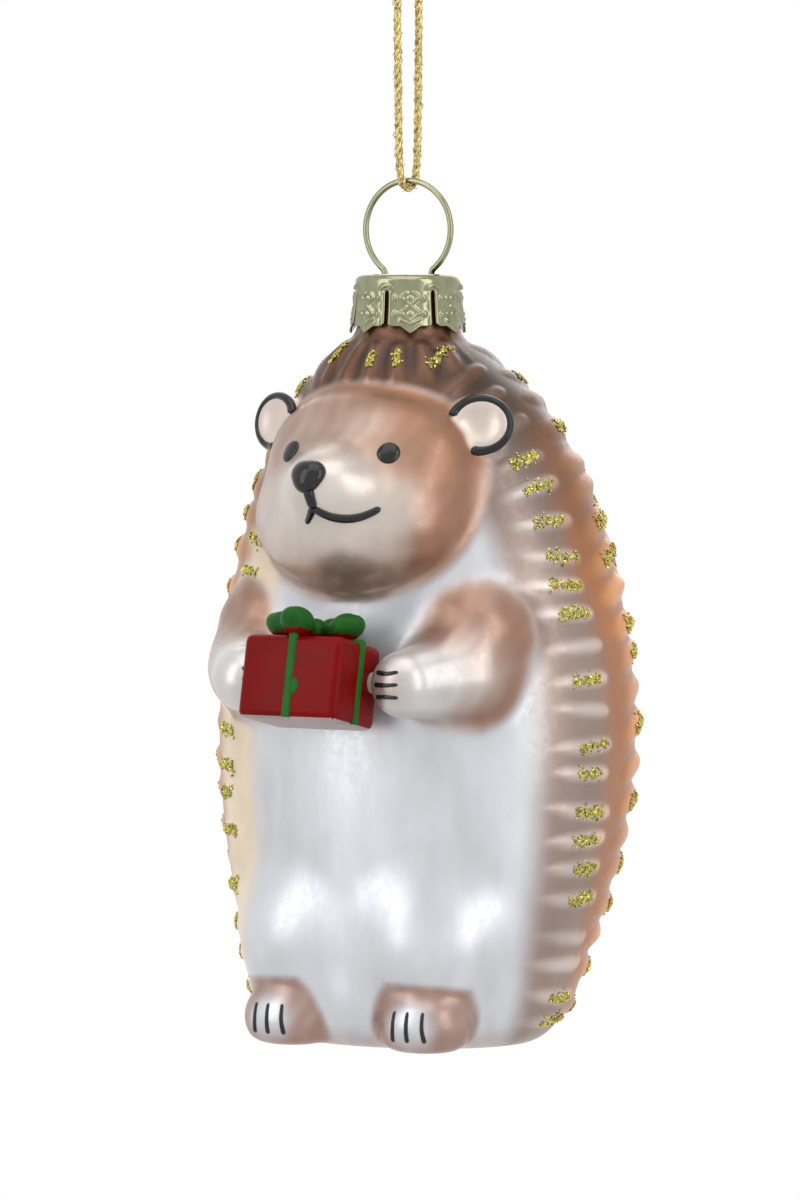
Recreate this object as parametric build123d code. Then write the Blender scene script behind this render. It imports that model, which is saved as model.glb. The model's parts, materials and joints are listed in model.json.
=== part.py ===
"""A blown-glass hedgehog tree ornament holding a gift: hollow figure, crown cap, spring hanger and cord.

Millimetres, +Z up, the figure faces -Y. The origin is the point under the cord's knot that a hook
holds, so everything hangs below it. Heights on the figure are given above its flat base, for a body
of drawn_height, and stretch with body_height.
"""

from build123d import *
import math
import os

# Hanging cord: a loop of metallic cord, knotted at the top, passed once through the ring.
cord_diameter = 1.0
cord_drop = 37.0
strand_spacing = 3.0
strand_top_spacing = 1.2
strand_spread = 5.0
cord_turn = 60.0
bight_spacing = 2.7
bight_clearance = 0.3
knot_radius = 1.8
knot_height = 3.4
tail_length = 5.0
tail_lean = 16.0
corner_share = 0.45

# Spring hanger: one wire bent into a ring, with two legs that grip the inside of the neck.
wire_diameter = 0.9
ring_radius = 6.0
leg_spacing = 6.6
leg_bend_radius = 0.9
leg_length = 15.0
leg_clearance = 0.15

# Crown cap: pressed sheet with slit fingers round the neck.
cap_radius = 6.5
cap_sheet = 0.3
cap_edge_radius = 0.7
cap_height = 7.2
cap_flare = 0.6
finger_count = 7
slit_width = 0.5
slit_depth = 5.2
finger_point = 1.1
slot_clearance = 0.2
seat_gap = 0.08
skirt_gap = 0.12

# Glass figure: wall, neck and the egg-shaped trunk.
glass_wall = 1.0
neck_height = 7.4
neck_lip_radius = 0.45
body_height = 86.5
drawn_height = 86.5

# Trunk sections: height above the base, half width, half depth, and how far behind the neck it is centred.
# The lowest one is under the base, which is cut flat.
trunk_sections = [
    (-2.0, 13.6, 10.6, 0.4),
    (0.0, 16.4, 13.0, 0.6),
    (2.6, 19.0, 15.2, 0.9),
    (11.0, 22.2, 17.6, 2.0),
    (23.0, 25.4, 20.0, 3.5),
    (37.0, 27.0, 21.3, 4.5),
    (50.0, 26.0, 20.6, 4.5),
    (62.0, 23.4, 18.8, 4.2),
    (72.0, 19.6, 16.2, 3.4),
    (79.5, 14.8, 12.8, 2.0),
    (84.0, 9.9, 9.2, 0.7),
]

# Head, full cheeks and snout.
head_height = 68.0
head_forward = 3.6
head_half_width = 15.4
head_radius = 12.2
cheek_height = 63.8
cheek_forward = 11.3
cheek_half_width = 13.6
cheek_radius = 10.5
snout_height = 68.6
snout_forward = 18.6
snout_half_width = 6.0
snout_radius = 5.6

# Ears: round dished flaps where the face meets the coat.
ear_height = 76.2
ear_spacing = 29.2
ear_forward = 7.8
ear_radius = 3.7
ear_thickness = 2.4
ear_edge_radius = 1.0
ear_dish_radius = 7.0
ear_dish_depth = 0.7
ear_splay = 22.0
ear_tilt = 8.0

# Arms: tapered, from the shoulder on the flank to the paw at the gift's side.
shoulder_height = 48.5
shoulder_angle = 54.0
shoulder_inset = 3.6
shoulder_radius = 6.3
paw_radius = 3.2
paw_gap = 0.25

# Legs and feet.
foot_height = 3.6
foot_spacing = 18.8
foot_forward = 12.2
foot_half_width = 5.9
foot_radius = 5.0
thigh_height = 13.0
thigh_radius = 6.6
thigh_forward = 10.0

# Coat of spines: rows of raised ribs from the belly's edge round to the back, fanned over the head.
spine_pitch = 4.6
spine_low = 5.0
spine_fan_height = 62.0
spine_centre = 4.0
spine_rows = [67.0, 97.0, 127.0, 157.0]
spine_half_length = 5.8
spine_half_width = 2.6
spine_proud = 0.8
neck_margin = 1.2
face_margin = 1.34

# Gift: one resin casting with raised ribbons and bow.
gift_width = 13.8
gift_depth = 9.8
gift_height = 10.2
gift_lean = 12.0
gift_edge_radius = 0.7
gift_level = 45.3
gift_back_gap = 2.5
ribbon_width = 1.0
ribbon_proud = 0.15
bow_reach = 3.2
bow_half_length = 2.5
bow_half_width = 1.75
bow_rise = 1.2
bow_knot_radius = 1.5
glue_radius = 1.3

# Raised enamel.
enamel_proud = 0.3
enamel_line = 0.7
eye_radius = 1.35
eye_height = 72.8
eye_spacing = 13.7
nose_half_width = 2.2
nose_height = 70.2
mouth_drop = 1.9
mouth_half_width = 6.6
mouth_curl = 1.2
mouth_steps = 4
ear_line_arc = 250.0
claw_length = 3.0
claw_spacing = 1.9


# Levels and radii that follow from the sizes above
wire_radius = wire_diameter / 2
cord_radius = cord_diameter / 2
ring_centre_z = -cord_drop - ring_radius
leg_x = leg_spacing / 2
leg_bend_x = leg_x + leg_bend_radius
leg_bend_z = ring_centre_z - math.sqrt((ring_radius + leg_bend_radius) ** 2 - leg_bend_x**2)
cap_top_z = leg_bend_z
lip_z = cap_top_z - cap_sheet - seat_gap
base_z = lip_z - neck_height - body_height
neck_radius = cap_radius - cap_sheet - skirt_gap
bore_radius = neck_radius - glass_wall
leg_foot_x = bore_radius - leg_clearance - wire_radius


def level(height):
    """Z of a height above the base, as drawn."""
    return base_z + height * body_height / drawn_height


def spheroid(along, across):
    """Ellipsoid of revolution about Z."""
    half = EllipticalCenterArc((0, 0), across, along, start_angle=-90, arc_size=180)
    face = make_face([half, Line(half @ 1, half @ 0)])
    return revolve(Plane.XZ * face, Axis.Z)


def tapered_rod(start, end, start_radius, end_radius):
    """Rod with round ends from one point to another."""
    reach = end - start
    length = reach.length
    lean = math.asin((start_radius - end_radius) / length)
    low = (start_radius * math.cos(lean), start_radius * math.sin(lean))
    high = (end_radius * math.cos(lean), length + end_radius * math.sin(lean))
    low_turn = math.radians(45) - lean / 2
    low_mid = (start_radius * math.cos(low_turn), -start_radius * math.sin(low_turn))
    high_turn = math.radians(45) + lean / 2
    high_mid = (end_radius * math.cos(high_turn), length + end_radius * math.sin(high_turn))
    outline = [
        ThreePointArc((0, -start_radius), low_mid, low),
        Line(low, high),
        ThreePointArc(high, high_mid, (0, length + end_radius)),
        Line((0, length + end_radius), (0, -start_radius)),
    ]
    rod = revolve(Plane.XZ * make_face(outline), Axis.Z)
    return Plane(origin=start, z_dir=reach) * rod


def surface_hit(form, start, direction):
    """Last point, and the outward normal there, where a line from start leaves a form."""
    point, normal = form.shell().find_intersection_points(Axis(start, direction))[-1]
    if normal.dot(Vector(direction)) < 0:
        normal = -normal
    return point, normal


# Glass figure: each form is made once for the outside and once, inset by the wall, for the hollow
def trunk(inset=0.0):
    sections = []
    for height, half_width, half_depth, centre in trunk_sections:
        sections.append(Pos(0, centre, level(height)) * Ellipse(half_width - inset, half_depth - inset))
    sections.append(Pos(0, 0, level(drawn_height)) * Circle(neck_radius - inset))
    return loft(sections)


def neck(radius, overlap):
    tube = Cylinder(radius, neck_height + overlap, align=(Align.CENTER, Align.CENTER, Align.MIN))
    return Pos(0, 0, level(drawn_height) - overlap) * tube


def lipped_neck():
    tube = neck(neck_radius, glass_wall)
    return fillet(tube.edges().group_by(Axis.Z)[-1], neck_lip_radius)


def head(inset=0.0, scale_up=1.0):
    along = head_half_width * scale_up - inset
    across = head_radius * scale_up - inset
    return Pos(0, -head_forward, level(head_height)) * Rot(0, 90, 0) * spheroid(along, across)


def cheeks(inset=0.0):
    ball = spheroid(cheek_half_width - inset, cheek_radius - inset)
    return Pos(0, -cheek_forward, level(cheek_height)) * Rot(0, 90, 0) * ball


def snout(inset=0.0):
    ball = spheroid(snout_half_width - inset, snout_radius - inset)
    return Pos(0, -snout_forward, level(snout_height)) * Rot(0, 90, 0) * ball


def face():
    return head().fuse(cheeks(), snout())


def trunk_front(height):
    return surface_hit(trunk_form, (0, 0, level(height)), (0, -1, 0))[0].Y


def gift_centre():
    back = trunk_front(gift_level) - gift_back_gap
    return Vector(0, back - gift_depth / 2, level(gift_level))


def paw_centre(side):
    middle = gift_centre()
    x = gift_width / 2 + paw_gap + paw_radius
    return Vector(side * x, middle.Y + gift_depth / 2 - paw_radius / 2, middle.Z)


def arm(side, inset=0.0):
    turn = math.radians(shoulder_angle)
    outward = Vector(side * math.sin(turn), -math.cos(turn), 0)
    skin = surface_hit(trunk_form, (0, spine_centre, level(shoulder_height)), outward)[0]
    shoulder = skin - outward * shoulder_inset
    return tapered_rod(shoulder, paw_centre(side), shoulder_radius - inset, paw_radius - inset)


def leg(side, inset=0.0):
    foot_x = side * foot_spacing / 2
    ball = Rot(0, 90, 0) * spheroid(foot_half_width - inset, foot_radius - inset)
    foot = Pos(foot_x, -foot_forward, level(foot_height)) * ball
    thigh = Pos(foot_x, -thigh_forward, level(thigh_height)) * Sphere(thigh_radius - inset)
    return [foot, thigh]


def ear_plane(side):
    """Plane of an ear, its normal facing forward, outward and a little up."""
    splay = math.radians(ear_splay)
    tilt = math.radians(ear_tilt)
    facing = Vector(
        side * math.sin(splay) * math.cos(tilt), -math.cos(splay) * math.cos(tilt), math.sin(tilt)
    )
    centre = Vector(side * ear_spacing / 2, -ear_forward, level(ear_height))
    return Plane(origin=centre, x_dir=Vector(0, 0, 1).cross(facing), z_dir=facing)


def ear(side):
    flap = Cylinder(ear_radius, ear_thickness, align=(Align.CENTER, Align.CENTER, Align.MAX))
    flap = fillet(flap.edges().group_by(Axis.Z)[-1], ear_edge_radius)
    dish = Pos(0, 0, ear_dish_radius - ear_dish_depth) * Sphere(ear_dish_radius)
    return ear_plane(side) * (flap - dish)


def spine_places():
    """Planes on the coat's +X half: normal out of the glass, x along the rib from the front to the back."""
    face_side = head(scale_up=face_margin)
    places = []
    for row, angle in enumerate(spine_rows):
        polar = math.radians(angle)
        stagger = 0.5 * (row % 2)
        levels = int((spine_fan_height - spine_low) / spine_pitch)
        stations = [(spine_fan_height - (i + stagger) * spine_pitch, 90.0) for i in range(levels)]
        fan_length = math.radians(90) * head_half_width * math.sin(polar)
        fan = max(1, round(fan_length / spine_pitch))
        stations += [(spine_fan_height, 90.0 - 90.0 * (i + 1 - stagger) / fan) for i in range(fan)]
        for height, roll in stations:
            turn = math.radians(roll)
            start = Vector(0, spine_centre, level(height))
            outward = Vector(math.sin(polar) * math.sin(turn), -math.cos(polar), math.sin(polar) * math.cos(turn))
            backward = Vector(math.cos(polar) * math.sin(turn), math.sin(polar), math.cos(polar) * math.cos(turn))
            point, normal = surface_hit(trunk_form, start, outward)
            above_fan = point.Z > level(spine_fan_height)
            near_neck = math.hypot(point.X, point.Y) < neck_radius + neck_margin + spine_half_length
            if (above_fan and near_neck) or face_side.is_inside(point):
                continue
            along = backward - normal * backward.dot(normal)
            places.append(Plane(origin=point, x_dir=along, z_dir=normal))
    return places


def spine(place):
    rib = Rot(0, 90, 0) * spheroid(spine_half_length, spine_half_width)
    return place * Pos(0, 0, spine_proud - spine_half_width) * rib


trunk_form = trunk()


def block_below(z):
    wide = 2 * body_height
    return Pos(0, 0, z) * Box(wide, wide, body_height, align=(Align.CENTER, Align.CENTER, Align.MAX))


def glass_body():
    outside = [head(), cheeks(), snout(), lipped_neck()]
    hollow = [head(glass_wall), cheeks(glass_wall), snout(glass_wall), neck(bore_radius, 2 * glass_wall)]
    for side in (-1, 1):
        outside += [arm(side), ear(side)] + leg(side)
        hollow += [arm(side, glass_wall)] + leg(side, glass_wall)
    ribs = [spine(place) for place in spine_places()]
    outside += ribs + [rib.mirror(Plane.YZ) for rib in ribs]
    inside = trunk(glass_wall).fuse(*hollow) - block_below(base_z + glass_wall)
    return trunk_form.fuse(*outside) - block_below(base_z) - inside


# Crown cap
def cap_profile(inset):
    """Half section of the cap's outside, or of its inside when inset by the sheet."""
    radius = cap_radius - inset
    top = -inset
    corner = cap_edge_radius - inset
    arc = CenterArc((radius - corner, top - corner), corner, 90, -90)
    flare_start = (radius, -cap_height + slit_depth)
    rim = (radius + cap_flare, -cap_height)
    outline = Polyline((radius, top - corner), flare_start, rim, (0, -cap_height), (0, top), (radius - corner, top))
    return make_face([arc, outline])


def crown_cap():
    shell = revolve(Plane.XZ * cap_profile(0.0), Axis.Z) - revolve(Plane.XZ * cap_profile(cap_sheet), Axis.Z)
    reach = cap_radius + cap_flare + cap_sheet
    pitch = 360 / finger_count
    notch_half = reach * math.sin(math.radians(pitch / 2))
    notch = make_face(
        Polyline((-notch_half, -cap_height), (0, -cap_height + finger_point), (notch_half, -cap_height), close=True)
    )
    slit_top = -cap_height + slit_depth - slit_width / 2
    slit = Pos(0, slit_top) * Circle(slit_width / 2) + Pos(0, slit_top) * Rectangle(
        slit_width, slit_depth, align=(Align.CENTER, Align.MAX)
    )
    cutter = extrude(Plane.XZ * notch, reach) + extrude(Plane.XZ * slit, reach)
    for finger in range(finger_count):
        shell = shell - Rot(0, 0, (finger + 0.5) * pitch) * cutter
    slot_inner = leg_x - wire_radius - slot_clearance
    slot_outer = leg_foot_x + wire_radius + slot_clearance
    slot = SlotOverall(slot_outer - slot_inner, wire_diameter + 2 * slot_clearance)
    for side in (-1, 1):
        hole = extrude(Pos(side * (slot_inner + slot_outer) / 2, 0) * slot, 2 * cap_sheet, both=True)
        shell = shell - hole
    return Pos(0, 0, cap_top_z) * shell


# Spring hanger
def hanger_wire():
    bend_angle = math.atan2(ring_centre_z - leg_bend_z, leg_bend_x)
    join_x = leg_bend_x - leg_bend_radius * math.cos(bend_angle)
    join_z = leg_bend_z + leg_bend_radius * math.sin(bend_angle)
    half_x = leg_bend_x - leg_bend_radius * math.cos(bend_angle / 2)
    half_z = leg_bend_z + leg_bend_radius * math.sin(bend_angle / 2)
    edges = [ThreePointArc((-join_x, join_z), (0, ring_centre_z + ring_radius), (join_x, join_z))]
    for side in (-1, 1):
        leg_top = (side * leg_x, leg_bend_z)
        edges.append(ThreePointArc((side * join_x, join_z), (side * half_x, half_z), leg_top))
        edges.append(TangentArc(leg_top, (side * leg_foot_x, leg_bend_z - leg_length), tangent=(0, -1)))
    path = Plane.XZ * Wire(edges)
    section = Plane(origin=path @ 0, z_dir=path % 0) * Circle(wire_radius)
    return sweep(section, path)


# Hanging cord: straight runs joined by arcs, in one upright plane
def cord_route():
    """Points of the loop in its own plane, from the knot round the ring and back to the knot."""
    bottom = -cord_drop - wire_radius - bight_clearance - cord_radius
    down = [
        (-strand_top_spacing / 2, cord_diameter),
        (-strand_spacing / 2, -strand_spread),
        (-strand_spacing / 2, -cord_drop + strand_spread),
        (-bight_spacing / 2, bottom),
    ]
    return down + [(-x, z) for x, z in reversed(down)]


def route_radii(points):
    radii = []
    for before, corner, after in zip(points, points[1:], points[2:]):
        run_in = Vector(*corner) - Vector(*before)
        run_out = Vector(*after) - Vector(*corner)
        half_turn = math.radians(run_in.get_angle(run_out)) / 2
        radii.append(corner_share * min(run_in.length, run_out.length) / math.tan(half_turn))
    return radii


cord_facing = math.radians(cord_turn)
cord_plane = Plane(
    origin=(0, 0, 0),
    x_dir=(math.cos(cord_facing), math.sin(cord_facing), 0),
    z_dir=(math.sin(cord_facing), -math.cos(cord_facing), 0),
)


def hanging_cord():
    points = cord_route()
    radii = route_radii(points)
    path = FilletPolyline(*points, radius=radii)
    section = Plane(origin=path @ 0, z_dir=path % 0) * Circle(cord_radius)
    cord = sweep(section, path)
    print("cord bend radii", [round(radius, 2) for radius in radii], "length", round(path.length, 2))
    print("cord volume", round(cord.volume, 3), "section by length", round(math.pi * cord_radius**2 * path.length, 3))
    return cord_plane * cord


def cord_knot():
    barrel = Pos(0, 0, cord_radius + knot_height / 2) * spheroid(knot_height / 2, knot_radius)
    middle = (0, cord_radius + knot_height / 2, 0)
    knot = barrel
    for side in (-1, 1):
        lean = math.radians(side * tail_lean)
        place = Plane(origin=middle, z_dir=(math.sin(lean), math.cos(lean), 0))
        length = knot_height / 2 + tail_length
        tail = Cylinder(cord_radius, length, align=(Align.CENTER, Align.CENTER, Align.MIN))
        knot = knot + cord_plane * place * tail
    return knot


# Gift and the glue that holds it
def gift_box():
    casting = fillet(Box(gift_width, gift_depth, gift_height).edges(), gift_edge_radius)
    high = gift_height + 2 * ribbon_proud
    bands = [
        (Box(ribbon_width, gift_depth + 2 * ribbon_proud, high), Axis.X),
        (Box(gift_width + 2 * ribbon_proud, ribbon_width, high), Axis.Y),
    ]
    for band, across in bands:
        casting = casting + fillet(band.edges().filter_by(across), gift_edge_radius + ribbon_proud)
    top = gift_height / 2 + bow_rise
    loop = Pos(bow_reach, 0, top) * Rot(0, 90, 0) * spheroid(bow_half_length, bow_half_width)
    casting = casting + Pos(0, 0, top) * Sphere(bow_knot_radius)
    for turn in range(0, 360, 90):
        casting = casting + Rot(0, 0, turn) * loop
    return Pos(gift_centre()) * Rot(-gift_lean, 0, 0) * casting


def gift_glue(gift):
    pads = []
    for side in (-1, 1):
        paw = paw_centre(side)
        pad = Rot(0, 90, 0) * Cylinder(glue_radius, 2 * paw_radius)
        inner = Pos(side * (gift_width / 2 - paw_radius), paw.Y, paw.Z) * pad
        outer = Pos(side * gift_width / 2, paw.Y, paw.Z) * pad
        pads.append((outer - inner - arm(side) - gift).solids().sort_by(Axis.X)[0 if side > 0 else -1])
    return pads


# Raised enamel, each drop or line cut to the glass it lies on
def front_of(form, x, z):
    return surface_hit(form, (x, -head_forward, z), (0, -1, 0))


def enamel_stroke(form, stations):
    """Round line over a form through stations of x and z, as seen from the front."""
    points = [front_of(form, x, z)[0] for x, z in stations]
    radius = enamel_line / 2
    rods = [tapered_rod(start, end, radius, radius) for start, end in zip(points, points[1:])]
    return rods[0].fuse(*rods[1:]) - form if len(rods) > 1 else rods[0] - form


def dome(form, x, height, radius, proud):
    """Drop of enamel: the part of a ball that stands proud of a form."""
    point, normal = front_of(form, x, level(height))
    ball_radius = (radius**2 + proud**2) / (2 * proud)
    return Pos(point - normal * (ball_radius - proud)) * Sphere(ball_radius) - form


def eye_enamel():
    return [dome(face(), side * eye_spacing / 2, eye_height, eye_radius, 2 * enamel_proud) for side in (-1, 1)]


def nose_enamel():
    return [dome(snout(), 0, nose_height, nose_half_width, nose_half_width / 2)]


def mouth_enamel():
    nose_foot = level(nose_height) - nose_half_width
    fork = nose_foot - mouth_drop
    philtrum = [(0, nose_foot), (0, fork)]
    strokes = [enamel_stroke(face(), philtrum)]
    for side in (-1, 1):
        branch = []
        for step in range(mouth_steps + 1):
            share = step / mouth_steps
            dip = mouth_curl * (1 - (2 * share - 1) ** 2)
            branch.append((side * mouth_half_width * share, fork - dip))
        strokes.append(enamel_stroke(face(), branch))
    return [strokes[0].fuse(*strokes[1:]) - nose_enamel()[0]]


def ear_enamel():
    rims = []
    for side in (-1, 1):
        ring = Torus(ear_radius - ear_edge_radius / 2, enamel_line / 2, major_angle=ear_line_arc)
        middle = 0 if side > 0 else 180
        start = middle - ear_line_arc / 2
        rims.append(ear_plane(side) * (Rot(0, 0, start) * ring) - ear(side) - head())
    return rims


def claw_enamel():
    claws = []
    for side in (-1, 1):
        foot = leg(side)[0]
        paw = paw_centre(side)
        foot_z = level(foot_height)
        for index in (-1, 0, 1):
            x = side * foot_spacing / 2 + index * claw_spacing
            claws.append(enamel_stroke(foot, [(x, foot_z - claw_length / 2), (x, foot_z + claw_length / 2)]))
            z = paw.Z + index * claw_spacing / 2
            inner = paw.X - side * paw_radius / 2
            claws.append(enamel_stroke(arm(side), [(inner, z), (inner + side * claw_length / 2, z)]))
    return claws


def main():
    gift = gift_box()
    nodes = {
        "glass_body": glass_body(),
        "crown_cap": crown_cap(),
        "hanger_wire": hanger_wire(),
        "hanging_cord": hanging_cord(),
        "cord_knot": cord_knot(),
        "gift_box": gift,
        "gift_glue": Compound(gift_glue(gift)),
        "eye_enamel": Compound(eye_enamel()),
        "nose_enamel": Compound(nose_enamel()),
        "mouth_enamel": Compound(mouth_enamel()),
        "ear_enamel": Compound(ear_enamel()),
        "claw_enamel": Compound(claw_enamel()),
    }
    os.makedirs("parts", exist_ok=True)
    for name, shape in nodes.items():
        export_step(shape, f"parts/{name}.step")


main()
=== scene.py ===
"""Blown-glass hedgehog tree ornament: painted figure with a gift, crown cap, spring hanger and cord.

Sizes in the helper functions are millimetres; a point on the figure is x, y and its height above the
flat base. The figure faces -Y. Objects are in metres, in the frame of the CAD model.
"""

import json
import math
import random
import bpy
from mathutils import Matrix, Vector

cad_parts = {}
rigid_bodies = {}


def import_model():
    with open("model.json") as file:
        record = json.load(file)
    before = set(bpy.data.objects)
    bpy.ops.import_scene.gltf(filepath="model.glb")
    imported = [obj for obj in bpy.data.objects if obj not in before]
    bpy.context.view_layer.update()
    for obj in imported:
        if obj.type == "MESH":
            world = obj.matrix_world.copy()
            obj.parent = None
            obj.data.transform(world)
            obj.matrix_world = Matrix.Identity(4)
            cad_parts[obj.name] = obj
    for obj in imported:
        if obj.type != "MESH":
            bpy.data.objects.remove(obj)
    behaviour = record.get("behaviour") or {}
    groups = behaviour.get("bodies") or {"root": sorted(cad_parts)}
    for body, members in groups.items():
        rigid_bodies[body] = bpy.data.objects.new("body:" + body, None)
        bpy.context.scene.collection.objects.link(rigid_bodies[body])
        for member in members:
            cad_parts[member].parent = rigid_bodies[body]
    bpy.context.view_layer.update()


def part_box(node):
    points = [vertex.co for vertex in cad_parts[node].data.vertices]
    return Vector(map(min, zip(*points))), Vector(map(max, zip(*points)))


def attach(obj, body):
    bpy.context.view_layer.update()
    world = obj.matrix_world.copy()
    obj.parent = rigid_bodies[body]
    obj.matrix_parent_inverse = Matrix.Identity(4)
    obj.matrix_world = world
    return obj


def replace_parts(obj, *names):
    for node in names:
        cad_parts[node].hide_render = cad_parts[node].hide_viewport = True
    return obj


bl_info = {
    "name": "Glass hedgehog ornament",
    "version": (1, 0, 0),
    "blender": (4, 2, 0),
    "location": "View3D > Sidebar > Ornament",
    "description": "Builds a painted glass hedgehog ornament over its CAD frame",
    "category": "Object",
}

import bmesh
import bpy
import numpy as np
from bpy.props import FloatProperty, FloatVectorProperty, IntProperty, PointerProperty
from mathutils import Matrix, Vector
from mathutils.kdtree import KDTree

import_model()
MM = 0.001
BASE_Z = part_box("glass_body")[0].z

# Trunk sections: height, half width, half depth, how far behind the neck it is centred
TRUNK = np.array([
    (-2.0, 13.6, 10.6, 0.4), (0.0, 16.4, 13.0, 0.6), (2.6, 19.0, 15.2, 0.9), (11.0, 22.2, 17.6, 2.0),
    (23.0, 25.4, 20.0, 3.5), (37.0, 27.0, 21.3, 4.5), (50.0, 26.0, 20.6, 4.5), (62.0, 23.4, 18.8, 4.2),
    (72.0, 19.6, 16.2, 3.4), (79.5, 14.8, 12.8, 2.0), (84.0, 9.9, 9.2, 0.7), (86.5, 6.9, 6.8, 0.1),
    (88.4, 6.12, 6.12, 0.0), (95.0, 6.08, 6.08, 0.0),
])
LIP = 93.9
BORE = 5.08
PIT = 75.0

# Face, arms, legs and ears of the +X side
CRANIUM = ((0.0, -3.6, 69.4), (15.4, 12.2, 11.2))
CHEEKS = ((0.0, -11.0, 64.5), (13.7, 10.9, 9.8))
BROW = ((0.0, -9.2, 73.2), (12.0, 6.9, 6.6))
SNOUT = ((0.0, -18.4, 68.7), (5.6, 5.9, 4.7))
SHOULDER = ((14.6, -8.6, 50.4), 6.5)
ELBOW = ((14.4, -11.8, 46.0), 5.9)
PAW = ((11.1, -20.0, 45.2), 4.1)
THIGH = ((9.4, -10.0, 13.0), (6.6, 6.6, 7.4))
FOOT = ((9.4, -12.4, 3.4), (5.9, 5.2, 4.9))
EAR = (14.6, -7.8, 76.2)
EAR_SPLAY = math.radians(22)
EAR_TILT = math.radians(8)
GIFT = (0.0, -23.8, 45.3)
GIFT_SIZE = (13.8, 9.8, 10.2)
GIFT_LEAN = math.radians(-12)

# Coat of spines: polar angle of each row about the figure's axis, from the belly's edge to the back; the
# rows of the -X side lie further forward
ROWS = (75.0, 101.5, 128.0, 154.5, 181.0)
LEFT_SHIFT = 25.0
CROWN_RIDGES = 17
CROWN_STROKES = (-2, 0, 1)
CROWN_BASE = 80.0
CAP_CLEAR = 7.9
COAT_Y = 4.0

# A row climbs in steps to the fan's height and then rolls over to the middle of the crown
FAN_HEIGHT = 58.0
FAN_RISE = 14.0
CLIMB_STEPS = 160
FAN_STEPS = 120
BACK_ROW_STEPS = 175

# Paint that belongs to one place of the figure
CREAM = np.array((0.74, 0.645, 0.53))
LEFT_CREST = np.array((0.90, 0.78, 0.60))
# Valleys of the first row: the paint's own darker tone together with painted shade
NEAR_VALLEY = np.array((0.36, 0.265, 0.225))
LEFT_VALLEY = np.array((0.90, 0.74, 0.54))
AIRBRUSH = np.array((0.30, 0.105, 0.032))
EAR_INSIDE = np.array((0.80, 0.63, 0.53))
NECK_BROWN = np.array((0.18, 0.07, 0.03))
CHIN_LOSS = np.array((-0.14, 0.02, 0.08))
SPRAY_MOST = 0.92
BARE_RESIN = (0.58, 0.47, 0.45)
BARE_RIBBON = (0.55, 0.44, 0.42)
WHITE = (1.0, 1.0, 1.0, 1.0)


def metres(name, description, default):
    return FloatProperty(name=name, description=description, default=default, unit="LENGTH")


def tint(name, description, default):
    return FloatVectorProperty(name=name, description=description, default=default, subtype="COLOR")


class OrnamentSizes(bpy.types.PropertyGroup):
    """Sizes of the ornament's modelled detail"""

    skin_step: metres("Skin step", "Grid step of the glass skin", 0.0004)
    spine_pitch: metres("Spine pitch", "Spacing of the spines along a row", 0.0041)
    spine_height: metres("Spine height", "Height of a spine over its valley", 0.00095)
    enamel_line: metres("Enamel line", "Width of the painted black lines", 0.00072)
    grain: metres("Glitter grain", "Size of one grain of glitter", 0.00026)
    grains_per_stroke: IntProperty(name="Grains", description="Grains in one stroke of glitter", default=122)
    emboss: metres("Emboss", "Height of the cap's pressed pattern", 0.00030)


class OrnamentColours(bpy.types.PropertyGroup):
    """Colours of the paints and metals"""

    pearl: tint("Pearl", "Silvered glass of belly and face", (0.72, 0.73, 0.77))
    copper: tint("Copper", "Coat behind the first row", (0.76, 0.35, 0.145))
    # Blush crests and umber valleys are partly the paint's own tones and partly painted highlight and
    # painted shade; umber also gives the painted shadow at the roots of the spines
    blush: tint("Blush", "Crests of the first row of spines", (0.72, 0.62, 0.57))
    umber: tint("Umber", "Roots and valleys of the coat, and the crown", (0.30, 0.115, 0.04))
    red: tint("Gift red", "Lacquer of the gift", (0.24, 0.0015, 0.0018))
    green: tint("Ribbon green", "Ribbons and bow", (0.017, 0.125, 0.016))
    gold: tint("Cap gold", "Pale gold of cap and hanger", (0.30, 0.298, 0.19))
    thread: tint("Thread gold", "Metallic cord", (0.70, 0.56, 0.23))


def sizes():
    return bpy.context.scene.ornament_sizes


def colours():
    return bpy.context.scene.ornament_colours


# Skin of the figure as a distance field
def smooth_min(a, b, k):
    share = np.clip(0.5 + 0.5 * (b - a) / k, 0.0, 1.0)
    return b + (a - b) * share - k * share * (1.0 - share)


def smooth_max(a, b, k):
    return -smooth_min(-a, -b, k)


def ramp(low, high, value):
    share = np.clip((value - low) / (high - low), 0.0, 1.0)
    return share * share * (3.0 - 2.0 * share)


def bell(value, centre, width):
    return np.exp(-((value - centre) / width) ** 2)


def length(vectors):
    return np.sqrt((vectors * vectors).sum(axis=-1))


def dab(p, centre, radii):
    """Soft spot of paint: 1 at its centre, fading over its radii."""
    return np.exp(-length((p - np.array(centre)) / np.array(radii)) ** 2)


def blend(first, second, share):
    """Two colours mixed per point."""
    return first + (second - first) * share[:, None]


def trunk_table():
    """Trunk sections on an even grid of heights, by smooth interpolation."""
    heights = TRUNK[:, 0]
    slopes = np.gradient(TRUNK[:, 1:], heights, axis=0)
    grid = np.linspace(heights[0], heights[-1], 900)
    index = np.clip(np.searchsorted(heights, grid) - 1, 0, len(heights) - 2)
    step = (heights[index + 1] - heights[index])[:, None]
    t = ((grid - heights[index])[:, None]) / step
    start = TRUNK[index, 1:]
    end = TRUNK[index + 1, 1:]
    rows = (
        (2 * t**3 - 3 * t**2 + 1) * start + (t**3 - 2 * t**2 + t) * step * slopes[index]
        + (-2 * t**3 + 3 * t**2) * end + (t**3 - t**2) * step * slopes[index + 1]
    )
    return grid, rows


TRUNK_GRID, TRUNK_ROWS = trunk_table()


def section(height):
    return [np.interp(height, TRUNK_GRID, TRUNK_ROWS[:, column]) for column in range(3)]


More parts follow.
